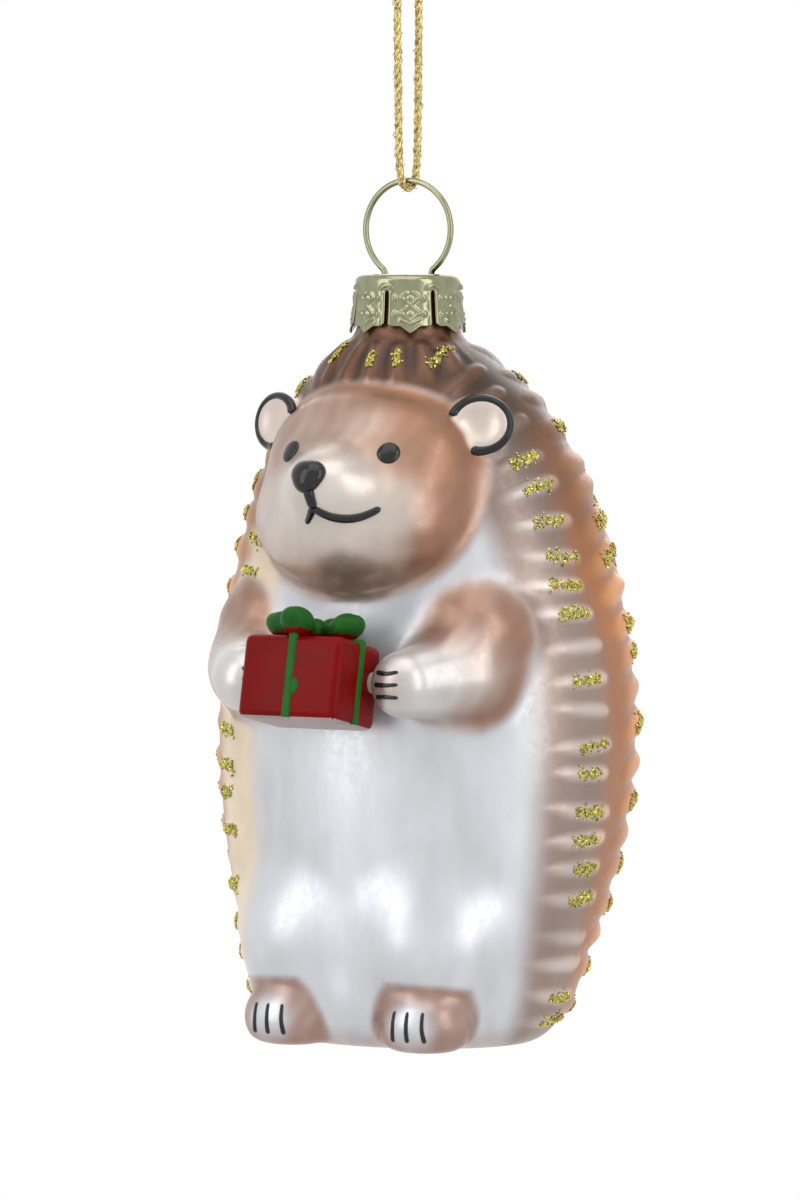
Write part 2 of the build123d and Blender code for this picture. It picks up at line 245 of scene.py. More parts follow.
def trunk_field(p):
    half_width, half_depth, centre = section(p[:, 2])
    u = p[:, 0] / half_width
    v = (p[:, 1] - centre) / half_depth
    reach = np.sqrt(u * u + v * v) + 1e-6
    slope = np.sqrt((u / half_width) ** 2 + (v / half_depth) ** 2) / reach
    return (reach - 1.0) / slope


def ball(p, form):
    centre, radii = np.array(form[0]), np.array(form[1])
    q = (p - centre) / radii
    reach = length(q)
    return reach * (reach - 1.0) / np.maximum(length(q / radii), 1e-6)


def limb(p, start, end):
    low, high = np.array(start[0]), np.array(end[0])
    axis = high - low
    t = np.clip((p - low) @ axis / (axis @ axis), 0.0, 1.0)
    return length(p - low - t[:, None] * axis) - (start[1] + (end[1] - start[1]) * t)


def ear_axes():
    level = math.cos(EAR_TILT)
    facing = np.array((math.sin(EAR_SPLAY) * level, -math.cos(EAR_SPLAY) * level, math.sin(EAR_TILT)))
    side = np.cross((0.0, 0.0, 1.0), facing)
    side = side / length(side)
    return side, np.cross(facing, side), facing


def ear_field(p):
    local = (p - np.array(EAR)) @ np.array(ear_axes()).T
    flap = ball(local, ((0.0, 0.0, -1.1), (3.95, 3.5, 1.9)))
    dish = length(local - np.array((0.0, 0.0, 5.0))) - 5.45
    return smooth_max(flap, -dish, 0.7)


def forms(p):
    """Distances to the trunk, face, arms, thighs, feet and ears."""
    q = p.copy()
    q[:, 0] = np.abs(q[:, 0])
    head = smooth_min(smooth_min(ball(p, CRANIUM), ball(p, CHEEKS), 5.0), ball(p, BROW), 4.0)
    face = smooth_min(head, ball(p, SNOUT), 2.6)
    arm = smooth_min(limb(q, SHOULDER, ELBOW), limb(q, ELBOW, PAW), 1.5)
    return trunk_field(p), face, arm, ball(q, THIGH), ball(q, FOOT), ear_field(q)


def skin(p):
    trunk, face, arm, thigh, foot, ear = forms(p)
    solid = trunk
    for form, softness in ((thigh, 6.0), (face, 1.4), (arm, 2.8), (foot, 1.5), (ear, 1.0)):
        solid = smooth_min(solid, form, softness)
    solid = smooth_max(solid, -p[:, 2], 1.6)
    solid = smooth_max(solid, p[:, 2] - LIP, 0.5)
    bore = smooth_max(np.hypot(p[:, 0], p[:, 1]) - BORE, PIT - p[:, 2], 2.0)
    return smooth_max(solid, -bore, 0.3)


def gradient(field, p, reach=0.02):
    slope = np.empty_like(p)
    for axis in range(3):
        shift = np.zeros(3)
        shift[axis] = reach
        slope[:, axis] = (field(p + shift) - field(p - shift)) / (2 * reach)
    return slope


def normals(p, field=skin):
    slope = gradient(field, p)
    return slope / np.maximum(length(slope), 1e-6)[:, None]


def settle(p, field=skin, rounds=6):
    """Points moved onto a field's surface."""
    for _ in range(rounds):
        slope = gradient(field, p)
        step = np.clip(field(p) / np.maximum((slope * slope).sum(axis=1), 0.05), -0.8, 0.8)
        p = p - step[:, None] * slope
    return p


def front_of(x, height):
    """Point of the skin first met from the front at an x and height."""
    depths = np.linspace(-34.0, 10.0, 881)
    line = np.column_stack((np.full_like(depths, x), depths, np.full_like(depths, height)))
    return line[np.argmax(skin(line) < 0.0)]


# Coat: every spine has a middle, a direction to its tip, a side and an outward normal
def row_curve(angle):
    """Points on the trunk along one row, from the base up to the middle of the crown."""
    fan = FAN_HEIGHT + FAN_RISE * float(ramp(95.0, 170.0, angle))
    total = CLIMB_STEPS + FAN_STEPS
    heights = np.concatenate((np.linspace(2.0, fan, CLIMB_STEPS), np.full(FAN_STEPS, fan)))
    polar = np.radians(angle - 8.0 * ramp(46.0, 60.0, heights))
    rolls = np.concatenate((np.zeros(CLIMB_STEPS), np.linspace(0.0, math.pi / 2, FAN_STEPS + 1)[1:]))
    start = np.column_stack((np.zeros(total), np.full(total, COAT_Y), heights))
    outward = np.column_stack((np.sin(polar) * np.cos(rolls), -np.cos(polar), np.sin(polar) * np.sin(rolls)))
    near, far = np.zeros(total), np.full(total, 45.0)
    for _ in range(40):
        middle = (near + far) / 2
        inside = trunk_field(start + outward * middle[:, None]) < 0.0
        near = np.where(inside, middle, near)
        far = np.where(inside, far, middle)
    return start + outward * near[:, None]


def at_run(station, run, points):
    """Point at a distance along a line."""
    return np.array([np.interp(station, run, points[:, axis]) for axis in range(3)])


def coat_spines():
    """Arrays of the spines' middles, axes, sizes and rows, both sides."""
    rng = np.random.default_rng(7)
    pitch = sizes().spine_pitch / MM
    table = []
    for row, angle in enumerate(ROWS):
        at_back = row == len(ROWS) - 1
        spacing = pitch * (0.96 if row == 0 else 1.06)
        for side in (-1, 1):
            turn = angle - (LEFT_SHIFT if side < 0 else 0.0)
            here, ahead = row_curve(turn), row_curve(turn + 2.0)
            run = np.concatenate(([0.0], np.cumsum(length(np.diff(here, axis=0)))))
            stagger = 0.5 * (row % 2) + (0.5 if at_back and side > 0 else 0.0)
            last = run[BACK_ROW_STEPS] if at_back else run[-1]
            for station in np.arange((0.3 + stagger) * spacing, last, spacing):
                station = station + rng.uniform(-0.12, 0.12) * spacing
                middle = at_run(station, run, here)
                onward = at_run(station, run, ahead) - middle
                if middle[2] > 78 and math.hypot(middle[0], middle[1]) < 8.0:
                    continue
                stretch, lean, tone = rng.uniform(0.9, 1.1), rng.uniform(-5, 5), rng.random()
                table.append((row, side, middle, onward, stretch, lean, tone))
    rows, sides, middles, onward, stretch, lean, tone = (np.array(column) for column in zip(*table))
    out = normals(middles, trunk_field)
    along = onward - (onward * out).sum(axis=1)[:, None] * out
    along = along / length(along)[:, None]
    lean = np.radians(lean)[:, None]
    along = along * np.cos(lean) + np.cross(out, along) * np.sin(lean)
    across = np.cross(out, along)
    mirror = np.column_stack((sides, np.ones((len(sides), 2))))
    return {
        "middle": middles * mirror, "along": along * mirror,
        "across": across * mirror, "out": out * mirror,
        "half_length": np.where(rows == 0, 6.2, 6.4) * stretch,
        "half_width": np.where(rows == 0, 0.56, 0.64) * pitch * (0.5 + 0.5 * stretch),
        "height": np.where(rows == 0, 0.66, 1.0) * (0.85 + 0.3 * tone),
        "row": rows, "tone": tone,
    }


def off_limbs(fields):
    """How far points of the trunk are from the face, arms, feet and ears."""
    trunk, face, arm, _, foot, ear = fields
    others = np.minimum(np.minimum(face, arm), np.minimum(foot, ear))
    return others - np.maximum(trunk, -0.5)


def coat_weight(p):
    """How far a point of the skin belongs to the coat, from 0 on face and limbs to 1."""
    neck = ramp(6.3, 8.2, np.hypot(p[:, 0], p[:, 1]) + np.where(p[:, 2] < CROWN_BASE, 20.0, 0.0))
    return ramp(-0.2, 1.6, off_limbs(forms(p))) * neck * ramp(0.5, 3.0, p[:, 2])


def coat_relief(p, spines):
    """Height of the coat at points of the skin, as a share, with the spine and the place along it."""
    tree = KDTree(len(spines["middle"]))
    for index, middle in enumerate(spines["middle"]):
        tree.insert(middle, index)
    tree.balance()
    near = np.array([[hit[1] for hit in tree.find_n(point, 8)] for point in p])
    offset = p[:, None, :] - spines["middle"][near]
    along = (offset * spines["along"][near]).sum(axis=2) / spines["half_length"][near]
    across = (offset * spines["across"][near]).sum(axis=2) / spines["half_width"][near]
    lift = np.abs((offset * spines["out"][near]).sum(axis=2))
    taper = 1.0 - 0.3 * ramp(0.4, 1.1, along) - 0.4 * ramp(-0.1, -1.0, along)
    ridge = 0.5 + 0.5 * np.cos(math.pi * np.clip(across / taper, -1.0, 1.0))
    ridge = np.where(spines["row"][near] == 0, ridge**1.5, ridge)
    rise = ramp(-1.1, -0.1, along) * (0.6 + 0.4 * ramp(-0.5, 0.75, along))
    height = ridge * rise * (1.0 - ramp(0.7, 1.06, along)) * (lift < 6.0) * spines["height"][near]
    best = (height - 0.03 * (np.abs(along) + np.abs(across))).argmax(axis=1)
    pick = np.arange(len(p))
    return height[pick, best], near[pick, best], along[pick, best]


def crown_ridges(p):
    """Soft ridges that run up to the neck in front of the cap, as a share of a spine's height."""
    trunk, face = forms(p)[:2]
    reach = np.hypot(p[:, 0], p[:, 1])
    turn = np.arctan2(p[:, 0], -p[:, 1])
    band = ramp(6.4, 7.8, reach) * ramp(12.0, 9.5, reach) * ramp(78.5, 80.5, p[:, 2])
    band = band * ramp(1.5, 1.2, np.abs(turn)) * ramp(-0.2, 1.2, face - np.maximum(trunk, -0.5))
    return band * (0.5 + 0.5 * np.cos(CROWN_RIDGES * turn))


def raised(p, out, spines):
    """Skin points lifted by the coat, with the relief that lifted them."""
    relief, owner, along = coat_relief(p, spines)
    weight = coat_weight(p)
    ridge = crown_ridges(p)
    lift = (relief * sizes().spine_height / MM - 0.18 * coat_side(p)) * weight
    lift = np.maximum(lift, 0.55 * ridge * sizes().spine_height / MM)
    return p + out * lift[:, None], np.maximum(relief * weight, ridge), owner, along


def coat_angle(p):
    """Polar angle of points about the figure's axis, with the first row of both sides at the same angle."""
    rise = np.maximum(p[:, 2] - FAN_HEIGHT, 0.0)
    polar = np.degrees(np.arctan2(np.hypot(p[:, 0], rise), -(p[:, 1] - COAT_Y)))
    return polar + LEFT_SHIFT * ramp(2.5, -2.5, p[:, 0]) + 8.0 * ramp(46.0, 60.0, p[:, 2])


def coat_side(p):
    """0 on the belly's side of the coat's edge, 1 behind it."""
    roll = np.arctan2(np.maximum(p[:, 2] - FAN_HEIGHT, 0.0), np.abs(p[:, 0]) + 1e-6)
    edge = 57.0 - 8.0 * np.sin(roll)
    return ramp(edge, edge + 12.0, coat_angle(p))


# Shared mesh helpers
def to_scene(p):
    """Figure points in millimetres as scene points in metres."""
    return np.asarray(p) * MM + np.array((0.0, 0.0, BASE_Z))


def link(name, data):
    """New object in the scene."""
    obj = bpy.data.objects.new(name, data)
    bpy.context.scene.collection.objects.link(obj)
    return obj


def mesh_from(name, bm):
    mesh = bpy.data.meshes.new(name)
    bm.to_mesh(mesh)
    bm.free()
    return mesh


def evaluated(obj):
    """Mesh of an object with its modifiers applied."""
    bpy.context.view_layer.update()
    return bpy.data.meshes.new_from_object(obj.evaluated_get(bpy.context.evaluated_depsgraph_get()))


def new_piece(name, bm, body, material, smooth=True):
    return adopt(name, mesh_from(name, bm), body, material, smooth)


def adopt(name, mesh, body, material, smooth=True):
    obj = link(name, mesh)
    mesh.materials.append(material)
    if smooth:
        mesh.shade_smooth()
    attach(obj, body)
    return obj


def unit_ball(bm, across, down):
    return bmesh.ops.create_uvsphere(bm, u_segments=across, v_segments=down, radius=1.0)["verts"]


def bevel(bm, edges, offset, segments):
    bmesh.ops.bevel(
        bm, geom=edges, offset=offset, offset_type="OFFSET", affect="EDGES", segments=segments, profile=0.5,
        material=-1,
    )


def coordinates(verts):
    return np.array([tuple(vert.co) for vert in verts])


def put(verts, places):
    for vert, place in zip(verts, places):
        vert.co = place


def ring_matrix(centre, tangent, up, wide, high):
    """Places a unit circle across a path: wide along its side, high along up."""
    tangent = Vector(tangent).normalized()
    side = Vector(up).cross(tangent).normalized()
    rise = tangent.cross(side)
    turn = Matrix((side * wide, rise * high, tangent)).transposed().to_4x4()
    return Matrix.Translation(Vector(centre)) @ turn


def sweep(bm, rings, segments):
    """Closed tube through ring matrices."""
    made = bmesh.ops.create_circle(bm, cap_ends=True, radius=1.0, segments=segments)["verts"]
    flat = [vert.co.copy() for vert in made]
    bmesh.ops.transform(bm, matrix=rings[0], verts=made)
    edges = list({edge for vert in made for edge in vert.link_edges})
    order = made
    for matrix in rings[1:]:
        grown = bmesh.ops.extrude_edge_only(bm, edges=edges)["geom"]
        edges = [item for item in grown if isinstance(item, bmesh.types.BMEdge)]
        fresh = {item for item in grown if isinstance(item, bmesh.types.BMVert)}
        edges = [edge for edge in edges if edge.verts[0] in fresh and edge.verts[1] in fresh]
        following = []
        for vert in order:
            beside = (edge.other_vert(vert) for edge in vert.link_edges)
            following.append(next(other for other in beside if other in fresh))
        put(following, [matrix @ place for place in flat])
        order = following
    bmesh.ops.edgeloop_fill(bm, edges=edges)


def frames(points):
    """Tangents of a polyline and an up vector carried along it."""
    tangents = []
    for index in range(len(points)):
        tangents.append((points[min(index + 1, len(points) - 1)] - points[max(index - 1, 0)]).normalized())
    up = tangents[0].orthogonal().normalized()
    ups = []
    for tangent in tangents:
        up = (up - tangent * up.dot(tangent)).normalized()
        ups.append(up)
    return tangents, ups


def flowing(points, step):
    """Smooth line through points, sampled at about a step."""
    points = [Vector(point) for point in points]
    ends = [points[0] * 2 - points[1]] + points + [points[-1] * 2 - points[-2]]
    line = []
    for a, b, c, d in zip(ends, ends[1:], ends[2:], ends[3:]):
        count = max(2, int((c - b).length / step))
        for index in range(count):
            t = index / count
            curve = (2 * a - 5 * b + 4 * c - d) * t**2 + (3 * b - a - 3 * c + d) * t**3
            line.append(0.5 * (2 * b + (c - a) * t + curve))
    line.append(points[-1])
    return line


def tube(bm, points, radius, segments):
    tangents, ups = frames(points)
    sweep(bm, [ring_matrix(p, t, u, radius, radius) for p, t, u in zip(points, tangents, ups)], segments)


def enamel_line(bm, points, width, swell):
    """Raised round-ended line of enamel on the skin; swell gives its width share along it."""
    step = 0.22
    line = np.array([tuple(point) for point in flowing(points, step)])
    line = settle(line)
    out = normals(line)
    total = len(line)
    rings = []
    for index in range(total):
        ahead = line[min(index + 1, total - 1)] - line[max(index - 1, 0)]
        share = index / (total - 1)
        end = min(index, total - 1 - index) * step / (width / 2)
        round_end = math.sqrt(max(0.02, 1 - (1 - min(end, 1.0)) ** 2))
        size = width / 2 * round_end * swell(share)
        centre = to_scene(line[index] + out[index] * size * 0.1)
        rings.append(ring_matrix(centre, ahead, out[index], size * MM, size * 0.75 * MM))
    sweep(bm, rings, 10)


def enamel_drop(bm, point, half_width, half_height, proud, outline):
    """Domed drop of enamel on the skin, its outline given as a radius share for an angle."""
    spot = settle(np.array([point]))
    out = Vector(normals(spot)[0])
    side = Vector((0.0, 0.0, 1.0)).cross(out).normalized()
    turn = Matrix((side, out.cross(side), out)).transposed().to_4x4()
    made = unit_ball(bm, 32, 16)
    flat = coordinates(made)
    share = outline(np.arctan2(flat[:, 1], flat[:, 0]))
    reach = np.array((half_width, half_height, 0.0))
    world = spot[0] + (flat * share[:, None] * reach) @ np.array(turn.to_3x3()).T
    foot = settle(world, rounds=4)
    lifted = foot + normals(foot) * (flat[:, 2:] * proud)
    put(made, to_scene(lifted))


# Materials
def fill(tree, node, inputs):
    """Set a node's inputs: a socket is linked, anything else is its value."""
    for name, value in inputs.items():
        if isinstance(value, bpy.types.NodeSocket):
            tree.links.new(value, node.inputs[name])
        else:
            node.inputs[name].default_value = value


def add_node(tree, kind, inputs, **settings):
    node = tree.nodes.new("ShaderNode" + kind)
    for name, value in settings.items():
        setattr(node, name, value)
    fill(tree, node, inputs)
    return node


def add_noise(tree, scale, detail, stretch=(1.0, 1.0, 1.0)):
    where = add_node(tree, "TexCoord", {}).outputs["Object"]
    placed = add_node(tree, "Mapping", {"Vector": where, "Scale": stretch}).outputs["Vector"]
    return add_node(tree, "TexNoise", {"Vector": placed, "Scale": scale, "Detail": detail}).outputs["Fac"]


def add_range(tree, source, low, high, start=0.3, end=0.7):
    limits = {"From Min": start, "From Max": end, "To Min": low, "To Max": high}
    return add_node(tree, "MapRange", {"Value": source, **limits}).outputs["Result"]


def material(name):
    made = bpy.data.materials.new(name)
    made.use_nodes = True
    return made, made.node_tree, made.node_tree.nodes["Principled BSDF"]


def surface(name, colour, noise, shade, rough, bump=None, grain=None, sockets=None):
    """Material whose colour, roughness and bump follow a noise; a grain may set the roughness instead.

    Without a colour it takes the one painted on the mesh.
    """
    made, tree, shader = material(name)
    cloud = add_noise(tree, *noise)
    speckle = add_noise(tree, *grain) if grain else cloud
    if colour:
        base = (*colour, 1.0)
    else:
        base = add_node(tree, "Attribute", {}, attribute_name="paint").outputs["Color"]
    mixed = {"Factor": 1.0, "A": base, "B": add_range(tree, cloud, *shade)}
    tinted = add_node(tree, "Mix", mixed, data_type="RGBA", blend_type="MULTIPLY").outputs["Result"]
    fill(tree, shader, {"Base Color": tinted, "Roughness": add_range(tree, speckle, *rough)})
    fill(tree, shader, sockets or {})
    if bump:
        strength, distance = bump
        raised_by = {"Strength": strength, "Distance": distance, "Height": cloud}
        fill(tree, shader, {"Normal": add_node(tree, "Bump", raised_by).outputs["Normal"]})
    return made


def pearl_glass():
    """Silvered glass under pearl and copper paint, with a brushed mottle."""
    return surface(
        "pearl_glass", None, (230.0, 4.0, (1.0, 1.0, 0.42)), (0.89, 1.06), (0.30, 0.41), (0.12, 0.0006),
        (1500.0, 3.0), {"Metallic": 0.5, "Coat Weight": 0.15, "Coat Roughness": 0.22},
    )


def black_enamel():
    return surface(
        "black_enamel", (0.011, 0.010, 0.010), (900.0, 3.0), (0.6, 1.3), (0.12, 0.24), (0.15, 0.0003),
        sockets={"Specular IOR Level": 0.3, "Coat Weight": 0.25, "Coat Roughness": 0.06},
    )


def gold_glitter():
    return surface(
        "gold_glitter", (0.53, 0.47, 0.13), (2600.0, 1.0), (0.45, 1.4), (0.16, 0.34),
        sockets={"Metallic": 0.95},
    )


def gift_lacquer():
    """Painted resin: red lacquer, green ribbons and a bare pale underside."""
    return surface(
        "gift_lacquer", None, (420.0, 4.0), (0.82, 1.12), (0.34, 0.5), (0.18, 0.0005),
        sockets={"Specular IOR Level": 0.1, "Coat Weight": 0.05, "Coat Roughness": 0.14},
    )


def pressed_gold(name, roughness, bump):
    """Pale gold sheet or wire with fine drawing marks."""
    return surface(
        name, tuple(colours().gold), (1100.0, 3.0, (1.0, 1.0, 0.4)), (0.86, 1.08),
        (roughness - 0.06, roughness + 0.08), (bump, 0.0002), sockets={"Metallic": 1.0},
    )


def metallic_thread():
    """Twisted foil thread: bright and dark flats along the strands, painted into its colour as glints by a
    noise.
    """
    return surface(
        "metallic_thread", tuple(colours().thread), (2200.0, 2.0), (0.3, 1.25), (0.18, 0.42), (0.5, 0.0003),
        sockets={"Metallic": 0.95},
    )


def clear_glue():
    return surface("clear_glue", (0.80, 0.76, 0.70), (700.0, 2.0), (0.85, 1.05), (0.12, 0.25))


# Stage
VIEW_AZIMUTH = math.radians(30)
VIEW_ELEVATION = math.radians(3)
VIEW_DISTANCE = 0.85
VIEW_CENTRE = (-0.001, -0.0886)
VIEW_LENS = 207.0
FLOOR_DROP = 0.5
FLOOR_RADIUS = 1.2
FLOOR_GLOW = 0.92
LAMP_DISTANCE = 0.6

# Lamp: azimuth and elevation in degrees, power, width and height
LAMPS = {
    "left_softbox": (-26, 20, 0.95, 0.26, 0.65),
    "right_softbox": (74, 18, 1.0, 0.22, 0.65),
    "top_softbox": (20, 72, 0.9, 0.5, 0.5),
    "back_softbox": (200, 30, 0.8, 0.5, 0.5),
}


def add_seen(tree):
    """1 for the rays that show the background: seen straight, in metal or through glass."""
    path = add_node(tree, "LightPath", {})
    total = path.outputs["Is Camera Ray"]
    for kind in ("Is Glossy Ray", "Is Transmission Ray"):
        added = {0: total, 1: path.outputs[kind]}
        total = add_node(tree, "Math", added, operation="ADD", use_clamp=True).outputs["Value"]
    return total


def mix_to(tree, output, share, lit, seen):
    """Send two shaders to an output node, the second by a share."""
    mix = add_node(tree, "MixShader", {"Fac": share, 1: lit, 2: seen})
    fill(tree, tree.nodes[output], {"Surface": mix.outputs["Shader"]})


def toward_camera(azimuth, elevation):
    level = math.cos(elevation)
    return Vector((math.sin(azimuth) * level, -math.cos(azimuth) * level, math.sin(elevation)))


def aim(obj, target, azimuth, elevation, distance):
    """Set a camera or lamp round a target, facing it."""
    away = toward_camera(azimuth, elevation)
    obj.location = target + away * distance
    obj.rotation_euler = (-away).to_track_quat("-Z", "Y").to_euler()


class ORNAMENT_OT_stage(bpy.types.Operator):
    """Add the camera, the pale floor, the lamps and the world"""

    bl_idname = "ornament.stage"
    bl_label = "Stage"

    def execute(self, context):
        scene = context.scene
        aside = Vector((math.cos(VIEW_AZIMUTH), math.sin(VIEW_AZIMUTH), 0.0))
        target = aside * VIEW_CENTRE[0] + Vector((0.0, 0.0, VIEW_CENTRE[1]))
        data = bpy.data.cameras.new("photo_view")
        data.lens = VIEW_LENS
        data.sensor_fit = "AUTO"
        data.sensor_width = 36.0
        scene.camera = link("photo_view", data)
        aim(scene.camera, target, VIEW_AZIMUTH, VIEW_ELEVATION, VIEW_DISTANCE)
        self.floor()
        self.lamps(target)
        self.world(scene)
        scene.view_settings.view_transform = "Standard"
        return {"FINISHED"}

    def floor(self):
        bm = bmesh.new()
        bmesh.ops.create_circle(bm, cap_ends=True, radius=FLOOR_RADIUS, segments=96)
        bmesh.ops.translate(bm, verts=bm.verts, vec=(0.0, 0.0, BASE_Z - FLOOR_DROP))
        floor = link("floor", mesh_from("floor", bm))
        made, tree, shader = material("pale_floor")
        fill(tree, shader, {"Base Color": (0.86, 0.86, 0.86, 1.0), "Roughness": 0.7})
        glow = add_node(tree, "Emission", {"Color": WHITE})
        part = {0: add_seen(tree), 1: FLOOR_GLOW}
        share = add_node(tree, "Math", part, operation="MULTIPLY").outputs["Value"]
        mix_to(tree, "Material Output", share, shader.outputs["BSDF"], glow.outputs["Emission"])
        floor.data.materials.append(made)

    def lamps(self, target):
        for name, (azimuth, elevation, power, wide, high) in LAMPS.items():
            data = bpy.data.lights.new(name, "AREA")
            data.shape = "RECTANGLE"
            data.size = wide
            data.size_y = high
            data.energy = power
            aim(link(name, data), target, math.radians(azimuth), math.radians(elevation), LAMP_DISTANCE)

    def world(self, scene):
        scene.world = bpy.data.worlds.new("studio")
        scene.world.use_nodes = True
        tree = scene.world.node_tree
        where = add_node(tree, "TexCoord", {}).outputs["Generated"]
        turned = {0: where, 1: toward_camera(VIEW_AZIMUTH, 0.0)}
        facing = add_node(tree, "VectorMath", turned, operation="DOT_PRODUCT").outputs["Value"]
        soft = tree.nodes["Background"]
        fill(tree, soft, {"Color": add_range(tree, facing, 0.72, 0.66, 0.05, 0.95), "Strength": 0.62})
        white = add_node(tree, "Background", {"Color": WHITE})
        mix_to(tree, "World Output", add_seen(tree), soft.outputs["Background"], white.outputs["Background"])


# Cord and knot
CORD_TURN = math.radians(60)
CORD_ROUTE = (
    (-0.0006, 0.001), (-0.0016, -0.005), (-0.0014, -0.030), (-0.00115, -0.03798),
    (0.00115, -0.03798), (0.0014, -0.030), (0.0016, -0.005), (0.0006, 0.001),
)
TAIL_ROUTE = ((0.0006, 0.0008), (0.00025, 0.0022), (0.0005, 0.0037), (0.0012, 0.0058), (0.0016, 0.0076))
CORD_RADIUS = 0.0005
STRANDS = 3
STRAND_STEP = 0.00022
LAY = 0.0036
KNOT_RADIUS = 0.00128
KNOT_TURNS = 2.4
KNOT_STEPS = 28


def cord_place(across, height):
    return Vector((across * math.cos(CORD_TURN), across * math.sin(CORD_TURN), height))


def spline_points(name, points):
    """Points along a smooth spline whose control points are given."""
    curve = bpy.data.curves.new(name, "CURVE")
    curve.dimensions = "3D"
    curve.resolution_u = 24
    spline = curve.splines.new("NURBS")
    spline.points.add(len(points) - 1)
    for knot, place in zip(spline.points, points):
        knot.co = (*place, 1.0)
    spline.order_u = 3
    spline.use_endpoint_u = True
    carrier = link(name, curve)
    mesh = bpy.data.meshes.new_from_object(carrier)
    line = [vert.co.copy() for vert in mesh.vertices]
    bpy.data.objects.remove(carrier)
    bpy.data.curves.remove(curve)
    bpy.data.meshes.remove(mesh)
    return line


def resampled(line, step):
    run = [0.0]
    for a, b in zip(line, line[1:]):
        run.append(run[-1] + (b - a).length)
    points = np.array([tuple(point) for point in line])
    stations = np.linspace(0.0, run[-1], max(3, int(run[-1] / step)))
    return [Vector(at_run(station, run, points)) for station in stations]


def spoke(tangent, up, turn):
    """Direction across a line, turned from its up vector."""
    return up * math.cos(turn) + tangent.cross(up) * math.sin(turn)


def twisted(bm, line):
    """Twisted strands that follow a line."""
    points = resampled(line, STRAND_STEP)
    tangents, ups = frames(points)
    strand = CORD_RADIUS * 0.52
    for index in range(STRANDS):
        path = []
        for place, (point, tangent, up) in enumerate(zip(points, tangents, ups)):
            turn = 2 * math.pi * (place * STRAND_STEP / LAY + index / STRANDS)
            path.append(point + spoke(tangent, up, turn) * (CORD_RADIUS - strand))
        tube(bm, path, strand, 8)


class ORNAMENT_OT_cord(bpy.types.Operator):
    """Lay the twisted metallic cord through the ring and tie its knot"""

    bl_idname = "ornament.cord"
    bl_label = "Cord"

    def execute(self, context):
        thread = metallic_thread()
        line = spline_points("cord_route", [cord_place(x, z) for x, z in CORD_ROUTE])
        bm = bmesh.new()
        twisted(bm, line)
        cord = new_piece("cord_strands", bm, "cord_loop", thread)
        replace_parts(cord, "hanging_cord")
        fibres = self.fibres(line, thread)
        knot = self.knot(thread)
        return {"FINISHED"}

    def knot(self, thread):
        """Overhand knot: the doubled cord wound round itself, with two frayed tails."""
        bm = bmesh.new()
        turns = []
        for step in range(KNOT_STEPS + 1):
            share = step / KNOT_STEPS
            turn = share * 2 * math.pi * KNOT_TURNS
            reach = KNOT_RADIUS * math.sin(math.pi * (0.14 + 0.72 * share))
            turns.append(Vector((math.cos(turn) * reach, math.sin(turn) * reach, 0.0009 + 0.0026 * share)))
        twisted(bm, spline_points("knot_turns", turns))
        for side in (-1, 1):
            line = spline_points("tail", [cord_place(side * x, z) for x, z in TAIL_ROUTE])
            twisted(bm, line)
            self.fray(bm, line, side)
        knot = new_piece("knot_and_tails", bm, "cord_loop", thread)
        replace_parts(knot, "cord_knot")
        return knot

    def fibres(self, line, thread):
        """Ends of foil that stand out of the thread."""
        rng = random.Random(3)
        bm = bmesh.new()
        points = resampled(line, 0.0005)
        tangents, ups = frames(points)
        for point, tangent, up in zip(points, tangents, ups):
            out = spoke(tangent, up, rng.uniform(0, 2 * math.pi))
            way = tangent * rng.choice((-1, 1))
            root = point + out * CORD_RADIUS * 0.6
            tip = root + out * rng.uniform(0.0002, 0.00042) + way * rng.uniform(0.0003, 0.0008)
            tube(bm, [root, (root + tip) / 2 + out * 0.00008, tip], 0.00005, 5)
        return new_piece("cord_fibres", bm, "cord_loop", thread)

    def fray(self, bm, line, side):
        """Loose filaments at the cut end of a tail."""
        rng = random.Random(11 + side)
        start, way = line[-1], (line[-1] - line[-6]).normalized()
        for _ in range(12):
            spread = Vector((rng.uniform(-1, 1), rng.uniform(-1, 1), rng.uniform(-0.3, 0.3))) * 0.5
            bend = (way + spread).normalized()
            root = start - way * 0.0006 + spread * 0.0004
            tip = root + bend * rng.uniform(0.0011, 0.0016)
            tube(bm, [root, (root + tip) / 2 + way * 0.0001, tip], 0.00007, 5)


# Hanger
WIRE_RADIUS = 0.00038
RING_HEIGHT = -43.0
RING_RADIUS = 6.0
BEND_RADIUS = 0.9
LEG_X = 3.3
FOOT_X = 4.48
LEG_DROP = 15.0


